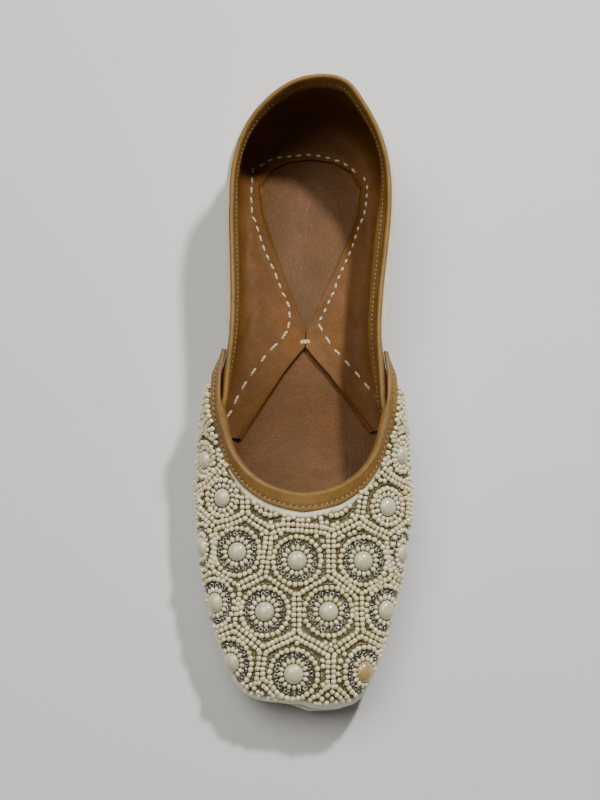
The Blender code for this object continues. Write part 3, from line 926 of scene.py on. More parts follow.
def lining_section(row):
    """One line of the lining's face, from under the tape to the flap's inner edge."""
    length = SKIN.length(row)
    side = 1 if row >= 0 else -1
    top_share = 1 - LINING_TOP_DROP / length
    foot = foot_point(row, WALL + GAP)
    column = SKIN.read(row, np.linspace(0, 1, SKIN_STEPS + 1), -WALL)
    turn_z = flap_plane(foot[1]) + CORNER_RISE
    low_share = float(np.interp(turn_z, column[:, 2], np.linspace(0, 1, SKIN_STEPS + 1)))
    shares = np.linspace(top_share, low_share, WALL_POINTS)
    drops = (1 - shares) * length
    low_part = soft_step((drops - 2 * QUARTER_TAPE_INSIDE) / (drops[-1] - 2 * QUARTER_TAPE_INSIDE))
    pad = inner_pad(row, drops) * (1 - 0.6 * low_part)
    wall = SKIN.read(row, shares, -EDGE_WALL - LINING_OFF - pad)
    edge = flap_edge(side, abs(row))
    inward = edge[:2] - foot
    reach = np.linalg.norm(inward)
    inward /= max(reach, 1e-9)
    run = min(CORNER_RUN, reach * 0.6)
    corner_end = np.append(foot + inward * run, flap_plane(foot[1] + inward[1] * run))
    fall = wall[-1] - wall[-3]
    fall /= np.linalg.norm(fall)
    corner = bezier((wall[-1], wall[-1] + fall * CORNER_RISE * 0.75,
                     corner_end - np.append(inward, 0) * run * 0.75, corner_end), CORNER_POINTS)
    t = np.linspace(0, 1, FLAP_POINTS)[:, None]
    flap = corner_end * (1 - t) + edge * t
    curl = EDGE_CURL * (0.6 * smooth_step((abs(row) - 0.8) / 1.5) + 0.4 * smooth_step((abs(row) - 6.0) / 2.0))
    for point, share in zip(flap, t[:, 0]):
        point[2] = flap_plane(point[1]) + curl * share ** 4
    return np.vstack([wall, corner[1:], flap[1:]])


def build_lining():
    rows = np.linspace(-LEFT_CUT_ROW, RIGHT_CUT_ROW, LINING_RIBS)
    grid = np.stack([lining_section(row) for row in rows])
    normals = facing_up(grid, WALL_POINTS + CORNER_POINTS + 8)
    columns = grid.shape[1]
    flap_part = soft_step((np.arange(columns) - WALL_POINTS + 6) / 10.0)
    thickness = LINING_THICKNESS + (FLAP_LOOK_THICKNESS - LINING_THICKNESS) * flap_part
    rippled = uneven(grid, *LINING_RIPPLES)
    quiet = np.ones(columns)
    quiet[:WALL_POINTS // 2] = np.linspace(0, 1, WALL_POINTS // 2)
    down = crease_depths(grid, LINING_CREASES) * flap_part - rippled * quiet
    down += stitch_dimples(grid)
    top = grid - normals * down[:, :, None]
    under = grid - normals * (thickness[None, :, None] + LINING_BELOW * flap_part[None, :, None])
    mesh = solid_between("lining", top, under, (LINING, LINING))
    piece = finish_piece("lining", mesh, ("lining_flaps",))
    soften_edges(piece, LINING_EDGE)
    return top


# The running stitches through the lining, in the shoe's own plan, in millimetres
LEFT_STITCHES = (
    (-24.5, 100.8), (-24.9, 91.1), (-24.4, 81.9), (-21.7, 73.1), (-18.5, 63.5), (-14.5, 54.4),
    (-11.0, 45.4), (-7.9, 37.4), (-9.0, 27.1), (-17.5, 16.5), (-25.8, 4.2), (-32.0, -8.7),
)
RIGHT_STITCHES = (
    (23.6, 97.6), (24.7, 93.5), (23.6, 82.1), (20.8, 74.2), (18.7, 66.8), (15.8, 59.4), (12.8, 52.1),
    (10.4, 44.8), (7.5, 38.0), (5.1, 30.0), (11.6, 19.5), (19.8, 10.5), (27.8, 0.0), (30.7, -4.9),
)
HEEL_STITCHES = ((-20.6, 103.7), (-16.8, 106.1), (-11.2, 107.6), (1.5, 108.6), (13.0, 105.6), (19.9, 100.7))
PHOTO_SHIFT = 0.9 * MM
LEFT_PITCH = 4.6 * MM
RIGHT_PITCH = 4.0 * MM
LEFT_FRONT_PITCH = 6.8 * MM
RIGHT_FRONT_PITCH = LEFT_FRONT_PITCH * 0.93
FRONT_BEGINS_Y = 30 * MM
HEEL_PITCH = 4.2 * MM
TACK_MIDDLE = (-0.1, 23.7)
STITCH_SHARE = 0.46


def spread_along(corners, pitch_at):
    """Places and directions along a smooth line through corners, a pitch apart."""
    corners = np.array(corners) * MM + np.array([PHOTO_SHIFT, 0.0])
    padded = np.vstack([2 * corners[0] - corners[1], corners, 2 * corners[-1] - corners[-2]])
    line = []
    for i in range(1, len(padded) - 2):
        for t in np.linspace(0, 1, 24, endpoint=False):
            line.append(curve(*padded[i - 1:i + 3], t))
    line = np.array(line)
    run = run_along(line)
    found = []
    travelled = 0.0
    while travelled < run[-1]:
        before, spot, ahead = read_line(travelled + np.array([-0.5, 0, 0.5]) * MM, run, line)
        direction = (ahead - before) / max(np.linalg.norm(ahead - before), 1e-9)
        pitch = pitch_at(spot)
        found.append((spot, direction, pitch * STITCH_SHARE))
        travelled += pitch
    return found


def running_stitches():
    """Every thick stitch on the lining: place in plan, direction and length."""
    def left_pitch(spot):
        return LEFT_PITCH if spot[1] > FRONT_BEGINS_Y else LEFT_FRONT_PITCH

    def right_pitch(spot):
        return RIGHT_PITCH if spot[1] > FRONT_BEGINS_Y else RIGHT_FRONT_PITCH

    def heel_pitch(spot):
        return HEEL_PITCH

    return (spread_along(LEFT_STITCHES, left_pitch) + spread_along(RIGHT_STITCHES, right_pitch)
            + spread_along(HEEL_STITCHES, heel_pitch))


STITCHES = running_stitches()


DIMPLE_LENGTH = 0.9
DIMPLE_WIDTH = 1.1 * MM
DIMPLE_DEPTH = 0.30 * MM
DIMPLES_BELOW = 30 * MM


def stitch_dimples(grid):
    """How far the thread pulls the lining down round each stitch."""
    depth = np.zeros(grid.shape[:-1])
    for spot, direction, length in STITCHES:
        x = grid[..., 0] - spot[0]
        y = grid[..., 1] - spot[1]
        along = (x * direction[0] + y * direction[1]) / (length * DIMPLE_LENGTH)
        across = (x * direction[1] - y * direction[0]) / DIMPLE_WIDTH
        depth += DIMPLE_DEPTH * np.exp(-along ** 2 - across ** 2)
    return depth * (grid[..., 2] < DIMPLES_BELOW)


# The embroidered panel
VAMP_RIBS = 10
VAMP_LEVELS = 80
VAMP_FOOT_SHARE = 0.025
SLANTED_ROWS = 2.2
PLAIN_SIDE = 1.5 * MM
PLAIN_THROAT = 1.9 * MM
BEADED_FADE = 0.9 * MM


def plain_low_share(row):
    """The share of a rib where the beads begin, a little in from the panel's outline."""
    points = SKIN.read(row, np.linspace(0, 1, SKIN_STEPS + 1), GAP + VAMP_THICKNESS)
    plan = wide_point(row)
    out = outward(row)
    inset = (plan[None, :] - points[:, :2]) @ out + (GAP + VAMP_THICKNESS)
    above = points[:, 2] > sole_top(plan[1]) + read_row("swell", row) * 0.8
    margin = PLAIN_SIDE * (1 - 0.5 * past(row, *TOE_MARGIN_NARROWS))
    inside = np.where(above & (inset > margin))[0]
    return inside[0] / SKIN_STEPS if len(inside) else 1.0


TOE_PADDING = 0.7 * MM
TOE_PADDING_RIGHT = 2.5 * MM
TOE_PAD_FROM_X = -1 * MM
TOE_PAD_TO_X = 17 * MM
TOE_PAD_RUN = 7 * MM


def toe_padding(row, shares):
    """The panel is fuller low down round the toe, and most on the right."""
    near = past(row, *TOE_PADDING_GROWS)
    x = foot_point(row)[0]
    right = smooth_step((x - TOE_PAD_FROM_X) / TOE_PAD_RUN)
    right *= 1 - smooth_step((x - TOE_PAD_TO_X) / TOE_PAD_RUN)
    most = TOE_PADDING + (TOE_PADDING_RIGHT - TOE_PADDING) * right
    return most * near * np.clip(1.3 - 2.4 * shares, 0.0, 1.0)


def build_vamp():
    count = int((len(ROWS) - 2 * WING_ROW) * VAMP_RIBS)
    top = []
    under = []
    beaded = []
    for row in np.linspace(WING_ROW, len(ROWS) - WING_ROW, count + 1):
        length = SKIN.length(row)
        far = vamp_face(row)
        near = far - EDGE_VAMP
        high = 1 - wing_drop(row) / length
        shares = np.linspace(VAMP_FOOT_SHARE, 1.0, VAMP_LEVELS) * high
        slanted = [wing_slant(row, share) for share in shares]
        flare = wing_flare(row, (high - shares) * length)
        if rows_from_heel(row) < WING_ROW + SLANTED_ROWS:
            cells = list(zip(slanted, shares, flare))
            top.append(np.vstack([SKIN.read(r, [share], far + out) for r, share, out in cells]))
            under.append(np.vstack([SKIN.read(r, [share], near + out) for r, share, out in cells]))
        else:
            top.append(SKIN.read(row, shares, far + flare + toe_padding(row, shares)))
            under.append(SKIN.read(row, shares, near + flare))
        low = plain_low_share(row)
        plain = PLAIN_THROAT * (0.15 + 0.85 * past(row, *THROAT_MARGIN_GROWS))
        tape_edge = 1 - (wing_drop(row) + vamp_leg(row) + plain) / length
        inside_low = soft_step((shares - low) * length / BEADED_FADE + 0.5)
        inside_high = soft_step((tape_edge - shares) * length / BEADED_FADE + 0.5)
        forward = past(row, *BEADS_BEGIN)
        beaded.append(inside_low * inside_high * forward)
    top = np.stack(top)
    under = np.stack(under)
    normals = facing_up(top, VAMP_LEVELS // 2)
    quilted = uneven(top, *VAMP_RIPPLES)
    top = top + normals * quilted[:, :, None]
    mesh = solid_between("vamp_panel", top, under, (VAMP_CLOTH, CLOTH))
    beaded = np.stack(beaded)
    # The beaded share, where the cloth's material darkens the ground partly with painted shade
    write_layer(mesh, "under_beads", np.concatenate([beaded.ravel(), np.zeros(beaded.size)]))
    finish_piece("vamp_panel", mesh, ("vamp",))
    return top, beaded


# The binding tapes: how finely they are read, and how their cut edges are rounded
TAPE_STEP = 0.45 * MM
OUTER_LEG_POINTS = 11
INNER_LEG_POINTS = 8
ROLL_POINTS = 12
ROLL_RISE = 1.15 * MM
ROLL_START = 0.2 * MM
CUT_STAND_OFF = 0.10 * MM
CUT_BULGE = 0.08 * MM
CUT_ROUND = 0.14 * MM
CUT_MIDDLE = 0.55
CUT_TOP = 0.92

# The tapes' stitching and where they run under and over one another
TAPE_STITCH_PITCH = 1.9 * MM
STITCH_FROM_EDGE = 1.6 * MM
OUTER_STITCH_FROM_EDGE = 1.2 * MM
QUARTER_STITCH_UP = 2.6 * MM
TUCK_START_ROW = 10.1
TUCK_END_ROW = 11.3
TUCK_DROP = 2.4 * MM
TUCK_OUT = 1.2 * MM
HIDDEN_LEG = 4.0 * MM
CROSS_START_ROW = 10.1
CROSS_END_ROW = 11.0
WING_TIP_ROWS = 0.42
INNER_LEG_ROWS = 1.2
SHORTEST_INNER_LEG = 0.8 * MM

# Rows of ribs from the heel, and how far the vamp's tape comes down there, in millimetres
VAMP_LEGS = ((8.55, 3.0), (10.0, 3.2), (11.0, 3.4), (12.0, 3.9), (13.0, 4.6), (15.0, 5.4), (19.0, 5.8))
CHANNEL_DEPTH = 0.16 * MM
CHANNEL_HALF_WIDTH = 0.55 * MM
HOLE_DEPTH = 0.22 * MM
LONG_WOBBLE = 0.10 * MM
LONG_WOBBLE_RUN = 9 * MM
SHORT_WOBBLE = 0.07 * MM
SHORT_WOBBLE_RUN = 3.7 * MM
UNDER_CLEARANCE = 0.02 * MM


def even_rows(first, last, step, drop_at):
    """Rows a step apart along the edge that a tape covers, with the length run so far."""
    rows = np.linspace(first, last, 600)
    line = np.vstack([SKIN.down(row, drop_at(row)) for row in rows])
    run = run_along(line)
    even = np.linspace(0, run[-1], int(run[-1] / step) + 1)
    return np.interp(even, run, rows), even


def tape_profile(inner_face, outer_face, inner_leg, outer_leg):
    """A folded tape's outer skin, from the outside leg's edge over the roll to the inside one.

    Each point is a drop below the edge, a distance off the skin, and its place from the leg's edge.
    """
    thick = EDGE_TAPE
    middle = (inner_face + outer_face) / 2
    half = (outer_face - inner_face) / 2 + thick
    points = [(outer_leg, outer_face + CUT_STAND_OFF),
              (outer_leg + CUT_BULGE, outer_face + thick * CUT_MIDDLE),
              (outer_leg - CUT_ROUND, outer_face + thick * CUT_TOP)]
    for step in range(1, OUTER_LEG_POINTS):
        drop = outer_leg - CUT_ROUND + (ROLL_START - outer_leg) * step / OUTER_LEG_POINTS
        points.append((drop, outer_face + thick))
    for step in range(ROLL_POINTS + 1):
        angle = math.pi * step / ROLL_POINTS
        points.append((-GAP - ROLL_RISE * math.sin(angle), middle + half * math.cos(angle)))
    for step in range(1, INNER_LEG_POINTS):
        drop = (inner_leg - CUT_ROUND) * step / INNER_LEG_POINTS
        points.append((drop, inner_face - thick))
    points += [(inner_leg - CUT_ROUND, inner_face - thick * CUT_TOP),
               (inner_leg + CUT_BULGE, inner_face - thick * CUT_MIDDLE),
               (inner_leg, inner_face - CUT_STAND_OFF)]
    return np.array(points)


def build_tape(name, node, first, last, drop_at, faces_at, legs_at, lines, shape_at):
    """A folded tape with its stitch lines pressed in. Gives where its stitches lie."""
    rows, run = even_rows(first, last, TAPE_STEP, drop_at)
    top = []
    under = []
    stitches = []
    pitch_count = 0
    for row, travelled in zip(rows, run):
        inner_face, outer_face = faces_at(row)
        inner_leg, outer_leg = legs_at(row)
        profile = tape_profile(inner_face, outer_face, inner_leg, outer_leg)
        drops = profile[:, 0].copy()
        offs = profile[:, 1].copy()
        middle = (inner_face + outer_face) / 2
        phase = 0.5 + 0.5 * math.cos(2 * math.pi * travelled / TAPE_STITCH_PITCH)
        for side, from_edge in lines:
            leg = outer_leg if side > 0 else inner_leg
            near_line = np.exp(-((drops - (leg - from_edge)) / CHANNEL_HALF_WIDTH) ** 2)
            near_line = near_line * ((offs - middle) * side > 0)
            offs = offs - side * near_line * (CHANNEL_DEPTH + HOLE_DEPTH * phase ** 3)
        wobble = LONG_WOBBLE * math.sin(travelled / LONG_WOBBLE_RUN)
        wobble += SHORT_WOBBLE * math.sin(travelled / SHORT_WOBBLE_RUN + 1)
        drops[:4] += wobble
        drops[-4:] += wobble * 0.8
        drops, offs = shape_at(row, drops, offs, middle)
        low_drop = np.clip(profile[:, 0], -GAP * 0.5, None)
        low_off = np.clip(profile[:, 1], inner_face + UNDER_CLEARANCE, outer_face - UNDER_CLEARANCE)
        low_drop, low_off = shape_at(row, low_drop, low_off, middle)
        edge = drop_at(row)
        top.append(SKIN.down(row, edge + drops, offs))
        under.append(SKIN.down(row, edge + low_drop, low_off))
        if travelled >= (pitch_count + 0.5) * TAPE_STITCH_PITCH:
            pitch_count += 1
            stitches.append((row, edge, inner_face, outer_face, inner_leg, outer_leg))
    top = np.stack(top)
    normals = facing_up(top, 10, 15)
    top = top + normals * uneven(top, *TAPE_RIPPLES)[:, :, None]
    mesh = solid_between(name, top, np.stack(under), (TAPE, TAPE))
    finish_piece(name, mesh, (node,))
    return stitches


def quarter_faces(row):
    return -EDGE_WALL - EDGE_GAP, EDGE_GAP


def tucked(row):
    """How far the quarter's tape has gone in under the vamp's, from 0 to 1."""
    return past(row, TUCK_START_ROW, TUCK_END_ROW - TUCK_START_ROW)


def quarter_legs(row):
    behind_wing = HIDDEN_LEG * past(row, *HIDDEN_LEG_GROWS)
    inside = QUARTER_TAPE_INSIDE * (1 - 0.5 * tucked(row))
    return inside, QUARTER_TAPE_OUTSIDE * (1 - 0.3 * tucked(row)) + behind_wing


def quarter_shape(row, drops, offs, middle):
    """Leans the inner leg on the padded lining, and tucks the end in under the vamp's tape."""
    share = tucked(row)
    inside = np.clip((middle - offs) / (0.5 * MM), 0.0, 1.0)
    offs = offs - inner_pad(row, np.maximum(drops, 0.0)) * inside * (1 - share)
    return drops + TUCK_DROP * share, offs + TUCK_OUT * share


def vamp_leg(row):
    """How far the vamp's tape comes down outside. It narrows along the wings."""
    from_heel = [cells[0] for cells in VAMP_LEGS]
    legs = [cells[1] for cells in VAMP_LEGS]
    return float(np.interp(rows_from_heel(row), from_heel, legs)) * MM


def vamp_faces(row):
    over_wall = past(row, CROSS_START_ROW, CROSS_END_ROW - CROSS_START_ROW)
    far = vamp_face(row)
    inner_face = (far - EDGE_VAMP - EDGE_GAP) * (1 - over_wall) - (EDGE_WALL + EDGE_GAP) * over_wall
    return inner_face, far + EDGE_GAP


def vamp_shape(row, drops, offs, middle):
    """The tape follows the wing where it stands away."""
    return drops, offs + wing_flare(row, drops)


def vamp_legs(row):
    down_inside = past(row, CROSS_END_ROW, INNER_LEG_ROWS)
    inner_leg = VAMP_TAPE_INSIDE * down_inside + SHORTEST_INNER_LEG * (1 - down_inside)
    near_tip = min(1.0, (rows_from_heel(row) - WING_ROW) / WING_TIP_ROWS)
    rounded = 0.25 + 0.75 * math.sqrt(max(0.0, 1 - (1 - near_tip) ** 2))
    return inner_leg * rounded, vamp_leg(row) * rounded


def no_drop(row):
    return 0.0


# The beadwork's measures, on the photographed shoe
BEAD_RADIUS = 1.00 * MM
BEAD_HALF_LENGTH = 0.86 * MM
BEAD_PITCH = 1.80 * MM
RING_PITCH = 2.06 * MM
RING_BEAD_SIZE = 1.06
PEARL_RADIUS = 3.75 * MM
PEARL_HEIGHT = 2.9 * MM
PEARL_LIFT = 0.55 * MM
NARROWEST_PEARL = 0.8
PETAL_RING = 4.85 * MM
PETALS = 16
PETAL_HALF_LENGTH = 1.02 * MM
PETAL_HALF_WIDTH = 0.86 * MM
PETAL_HALF_HEIGHT = 0.85 * MM
PETAL_LIFT = 0.75 * MM
SILVER_RING = 6.85 * MM
SILVER_BEADS = 20
SILVER_RADIUS = 0.98 * MM
SILVER_HALF_LENGTH = 0.55 * MM
SILVER_LIFT = 0.62 * MM
SILVER_START = 0.3
SILVER_TILT = 0.28
SILVER_SIZES = (0.85, 1.05)
SILVER_RINGS = (0.97, 1.03)
IVORY_RING = 9.0 * MM
WIRE_RING = 10.45 * MM
PLAIN_IVORY_RING = 7.0 * MM
PLAIN_WIRE_RING = 8.9 * MM
WIRE_RADIUS = 0.26 * MM
WIRE_TWIST = 1.3 * MM
WIRE_LIFT = 0.35 * MM
WIRE_STEP = 0.22 * MM
WIRE_SIDES = 5
WIRE_ROOM = 1.6 * MM
WIRE_WALK = 240
SHORTEST_WIRE = 5
DOUBLE_LINE = 1.06 * MM
DOUBLE_FROM = 0.9 * MM
SEWN_FROM = 0.45
PEARL_SEWN_FROM = 0.3
PEARL_SIZES = (0.95, 1.03)
GOLD_PEARL_SIZE = 1.06

# The honeycomb's lines between two rosettes
NEIGHBOURS_WITHIN = 38 * MM
BORDER_REACH = 17 * MM
BORDER_STEP = 0.5 * MM
BORDER_HALVINGS = 9
BORDER_FARTHEST = 26 * MM
SHORTEST_BORDER = 4
WALK_STEP = 0.4 * MM
WALK_REACH = 12.0 * MM
WALK_ANGLES = 60

# Rosettes on the vamp, in millimetres on its outer face: "plain" ones by the throat have no silver
# ring. across: how narrow the ring is from side to side. "edge" ones only close the honeycomb.
ROSETTE_COLUMNS = ("x", "y", "z", "across", "kind")
ROSETTES = (
    (-40.5, -13.0, 22.0, 0.80, "plain"),
    (40.5, -11.0, 22.0, 0.80, "plain"),
    (-37.6, -32.5, 28.3, 0.72, "plain"),
    (37.3, -29.6, 28.7, 0.70, "plain"),
    (-30.9, -48.0, 30.4, 0.90, "plain"),
    (-12.0, -48.6, 35.4, 1.00, "plain"),
    (11.2, -48.4, 35.6, 1.00, "plain"),
    (32.1, -50.5, 29.4, 0.92, "plain"),
    (-38.0, -65.7, 23.2, 0.62, "silver"),
    (-24.8, -68.6, 28.9, 0.98, "silver"),
    (-2.1, -72.2, 31.8, 1.00, "silver"),
    (22.9, -71.5, 28.8, 1.00, "silver"),
    (37.7, -67.3, 23.4, 0.62, "silver"),
    (-32.3, -87.1, 23.4, 0.82, "silver"),
    (-13.9, -91.0, 27.9, 1.00, "silver"),
    (9.9, -90.8, 28.5, 1.00, "silver"),
    (31.5, -89.1, 23.5, 0.90, "silver"),
    (-25.5, -109.0, 20.8, 0.90, "silver"),
    (-2.7, -113.4, 24.1, 1.00, "silver"),
    (23.2, -112.0, 22.0, 0.90, "gold"),
    (-41.0, 6.0, 22.0, 0.80, "edge"),
    (41.0, 8.0, 22.0, 0.80, "edge"),
    (-42.5, -30.0, 8.0, 0.80, "edge"),
    (42.5, -30.0, 8.0, 0.80, "edge"),
    (-43.0, -50.0, 12.0, 0.80, "edge"),
    (43.0, -50.0, 12.0, 0.80, "edge"),
    (-42.0, -82.0, 10.0, 0.80, "edge"),
    (42.0, -82.0, 10.0, 0.80, "edge"),
    (-36.0, -104.0, 10.0, 0.80, "edge"),
    (36.0, -104.0, 10.0, 0.80, "edge"),
    (-15.5, -123.0, 8.0, 0.90, "edge"),
    (12.0, -123.0, 8.0, 0.90, "edge"),
    (0.0, -36.0, 36.0, 1.00, "edge"),
)


class BeadedSurface:
    """The embroidered panel's face: finds points on it, walks along it, and knows its beaded part."""

    def __init__(self, grid, beaded):
        self.beaded = beaded[:-1, :-1].ravel().tolist()
        self.tree = search_tree(grid)
        middle = self.tree.find_nearest(Vector((0, -0.08, 0.05)))
        self.flip = -1 if middle[1].z < 0 else 1

    def find(self, point):
        """The nearest point of the face, its outward normal, and whether beads are sewn there."""
        spot, normal, face, _ = self.tree.find_nearest(Vector(point))
        return np.array(spot), np.array(normal) * self.flip, self.beaded[face]


def flattened(direction, normal):
    direction = direction - normal * (direction @ normal)
    return direction / max(np.linalg.norm(direction), 1e-9)


class Rosette:
    """A centre on the panel, with straight walks out from it in every direction."""

    def __init__(self, surface, cells, draw):
        self.kind = cells["kind"]
        middle = np.array([cells["x"], cells["y"], cells["z"]]) * MM
        self.centre, self.normal, self.beaded = surface.find(middle)
        self.along = flattened(np.array([0.0, 1.0, 0.0]), self.normal)
        self.across = np.cross(self.along, self.normal)
        self.narrow = cells["across"]
        self.turn = draw.uniform(0, 2 * math.pi)
        self.reach = PLAIN_WIRE_RING / WIRE_RING if self.kind == "plain" else 1.0
        self.lines = []
        if self.kind == "edge":
            return
        for number in range(WALK_ANGLES):
            angle = 2 * math.pi * number / WALK_ANGLES
            direction = self.across * math.cos(angle) + self.along * math.sin(angle)
            self.lines.append(self.walk(surface, direction))
        self.lines = np.array(self.lines)

    def walk(self, surface, direction):
        """Points and normals at even steps from the centre, straight along the face."""
        spot, normal = self.centre, self.normal
        found = [np.concatenate([spot, normal, [self.beaded]])]
        for _ in range(int(WALK_REACH / WALK_STEP)):
            direction = flattened(direction, normal)
            ahead = spot + direction * WALK_STEP
            following, normal, beaded = surface.find(ahead)
            if np.linalg.norm(following - ahead) > WALK_STEP * 0.6:
                beaded = 0.0
            spot = following
            found.append(np.concatenate([spot, normal, [beaded]]))
        return found

    def read(self, angle, radius):
        """The point, the normal and the beaded share at a radius of the ring, which may be narrow."""
        x = math.cos(angle) * radius * self.narrow
        y = math.sin(angle) * radius
        turned = math.atan2(y, x) % (2 * math.pi) / (2 * math.pi) * WALK_ANGLES
        steps = min(math.hypot(x, y) / WALK_STEP, self.lines.shape[1] - 1.001)
        first = int(turned) % WALK_ANGLES
        second = (first + 1) % WALK_ANGLES
        part = turned - int(turned)
        low = int(steps)
        inner = steps - low
        near = self.lines[first, low] * (1 - inner) + self.lines[first, low + 1] * inner
        beside = self.lines[second, low] * (1 - inner) + self.lines[second, low + 1] * inner
        cells = near * (1 - part) + beside * part
        normal = cells[3:6] / np.linalg.norm(cells[3:6])
        return cells[:3], normal, cells[6]

    def far(self, point):
        """How far a point lies from the centre, in this rosette's own rings."""
        away = point - self.centre
        x = away @ self.across / self.narrow
        y = away @ self.along
        z = away @ self.normal
        return math.sqrt(x * x + y * y + z * z) / self.reach


def bead_mould(around, profile, hole):
    """A round bead with a hole through it, reaching 1 across its axis and 1 each way along it."""
    points = []
    for i in range(around):
        angle = 2 * math.pi * i / around
        for j in range(profile):
            bend = 2 * math.pi * j / profile
            radial = (1 + hole) / 2 + (1 - hole) / 2 * math.cos(bend)
            points.append((radial * math.cos(angle), radial * math.sin(angle), math.sin(bend)))
    faces = []
    for i in range(around):
        for j in range(profile):
            a, b = i * profile + j, ((i + 1) % around) * profile + j
            c, d = ((i + 1) % around) * profile + (j + 1) % profile, i * profile + (j + 1) % profile
            faces.append((a, b, c, d))
    return np.array(points), faces


def drop_mould(around, rings, pointed=0.0):
    """A round drop, which can be drawn out to one side."""
    points = [(0, 0, -1)]
    for j in range(1, rings):
        polar = math.pi * j / rings
        for i in range(around):
            angle = 2 * math.pi * i / around
            stretch = 1 + pointed * max(0.0, math.cos(angle)) ** 2
            points.append((math.sin(polar) * math.cos(angle) * stretch, math.sin(polar) * math.sin(angle),
                           -math.cos(polar)))
    points.append((0, 0, 1))
    last = len(points) - 1
    faces = []
    for i in range(around):
        k = (i + 1) % around
        faces.append((0, 1 + k, 1 + i))
        faces.append((last, last - around + i, last - around + k))
        for j in range(rings - 2):
            a = 1 + j * around
            faces.append((a + i, a + k, a + around + k, a + around + i))
    return np.array(points), faces


def cast(name, mould, placings, material, seed):
    """One joined mesh of many copies of a mould, each with its place, three axes and own tone."""
    shape, faces = mould
    draw = np.random.default_rng(seed)
    count = len(shape)
    vertices = np.zeros((len(placings) * count, 3))
    for number, (spot, first, second, third) in enumerate(placings):
        vertices[number * count:(number + 1) * count] = spot + shape @ np.array([first, second, third])
    joined = []
    for number in range(len(placings)):
        joined += [tuple(index + number * count for index in face) for face in faces]
    tones = np.repeat(draw.uniform(0.0, 1.0, len(placings)) ** 0.7, count)
    return sewn_piece(name, vertices, joined, material, tones)


# How unlike one another the strung beads are: least and most share of a size, and stray turns
BEAD_WIDTHS = (0.93, 1.07)
BEAD_LENGTHS = (0.88, 1.08)
BEAD_LIFTS = (0.72, 0.98)
BEAD_TURN = 0.10
BEAD_STRAY = 0.07


def strung(spot, tangent, normal, draw, size=1.0):
    """A bead on its thread: the hole runs along the line that it is strung on."""
    tangent = flattened(tangent + draw.normal(0, BEAD_TURN, 3), normal)
    side = np.cross(normal, tangent)
    radius = BEAD_RADIUS * size * draw.uniform(*BEAD_WIDTHS)
    half = BEAD_HALF_LENGTH * size * draw.uniform(*BEAD_LENGTHS)
    lifted = spot + normal * (radius * draw.uniform(*BEAD_LIFTS)) + side * draw.normal(0, BEAD_STRAY) * MM
    return lifted, side * radius, normal * radius, tangent * half


RING_ANGLES = 90
FEWEST_IN_RING = 6
RING_SIZES = (0.985, 1.015)
RING_AHEAD = 0.06


def ring_of_beads(rosette, radius, draw):
    """Beads at an even pitch round a rosette."""
    placings = []
    angles = np.linspace(0, 2 * math.pi, RING_ANGLES)
    widths = np.array([math.hypot(math.sin(angle) * rosette.narrow, math.cos(angle)) for angle in angles])
    run = np.append(0, np.cumsum((widths[1:] + widths[:-1]) / 2 * np.diff(angles))) * radius
    count = max(FEWEST_IN_RING, round(run[-1] / RING_PITCH))
    for number in range(count):
        angle = float(np.interp(run[-1] * number / count, run, angles)) + rosette.turn
        spot, normal, beaded = rosette.read(angle, radius * draw.uniform(*RING_SIZES))
        ahead = rosette.read(angle + RING_AHEAD, radius)[0]
        if beaded > SEWN_FROM:
            placings.append(strung(spot, ahead - spot, normal, draw, RING_BEAD_SIZE))
    return placings


def border_line(surface, rosettes, a, b):
    """The honeycomb's side between two rosettes, as points at even small steps on the panel."""
    base = b.centre - a.centre
    normal = unit((a.normal + b.normal) / 2)
    sideways = np.cross(normal, base / np.linalg.norm(base))
    others = [rosette for rosette in rosettes if rosette is not a and rosette is not b]
    line = []
    for offset in np.arange(-BORDER_REACH, BORDER_REACH + BORDER_STEP / 2, BORDER_STEP):
        low, high = 0.0, 1.0
        for _ in range(BORDER_HALVINGS):
            share = (low + high) / 2
            spot = a.centre + base * share + sideways * offset
            if a.far(spot) < b.far(spot):
                low = share
            else:
                high = share
        found, facing, beaded = surface.find(a.centre + base * low + sideways * offset)
        nearest = min(rosette.far(found) for rosette in others)
        if a.far(found) <= nearest and np.linalg.norm(found - a.centre) < BORDER_FARTHEST:
            line.append((found, facing, beaded))
    return line


def beads_along(line, draw, shift=0.0, size=1.0):
    """Beads at their pitch along a line of points, which may lie beside it."""
    points = np.array([cells[0] for cells in line])
    normals = np.array([cells[1] for cells in line])
    beaded = np.array([cells[2] for cells in line])
    run = run_along(points)
    count = max(1, round(run[-1] / BEAD_PITCH))
    placings = []
    for number in range(count):
        travelled = run[-1] * (number + 0.5) / count
        spot = read_line(travelled, run, points)
        normal = unit(read_line(travelled, run, normals))
        step = int(np.searchsorted(run, travelled)) - 1
        tangent = flattened(points[step + 1] - points[step], normal)
        if np.interp(travelled, run, beaded) > SEWN_FROM:
            side = np.cross(normal, tangent)
            placings.append(strung(spot + side * shift, tangent, normal, draw, size))
    return placings


def twisted_wire(points, normals, radius, turns_pitch, sides, lift=0.0, phase=0.0):
    """Rings of one strand wound round a line of points."""
    run = run_along(points)
    rings = []
    for number in range(len(points)):
        ahead = points[min(number + 1, len(points) - 1)] - points[max(number - 1, 0)]
        tangent = ahead / max(np.linalg.norm(ahead), 1e-9)
        side = np.cross(normals[number], tangent)
        up = np.cross(tangent, side)
        angle = 2 * math.pi * run[number] / turns_pitch + phase
        middle = points[number] + normals[number] * lift
        middle = middle + (side * math.cos(angle) + up * math.sin(angle)) * radius * 0.7
        for step in range(sides):
            bend = 2 * math.pi * step / sides
            rings.append(middle + (side * math.cos(bend) + up * math.sin(bend)) * radius)
    return np.array(rings)


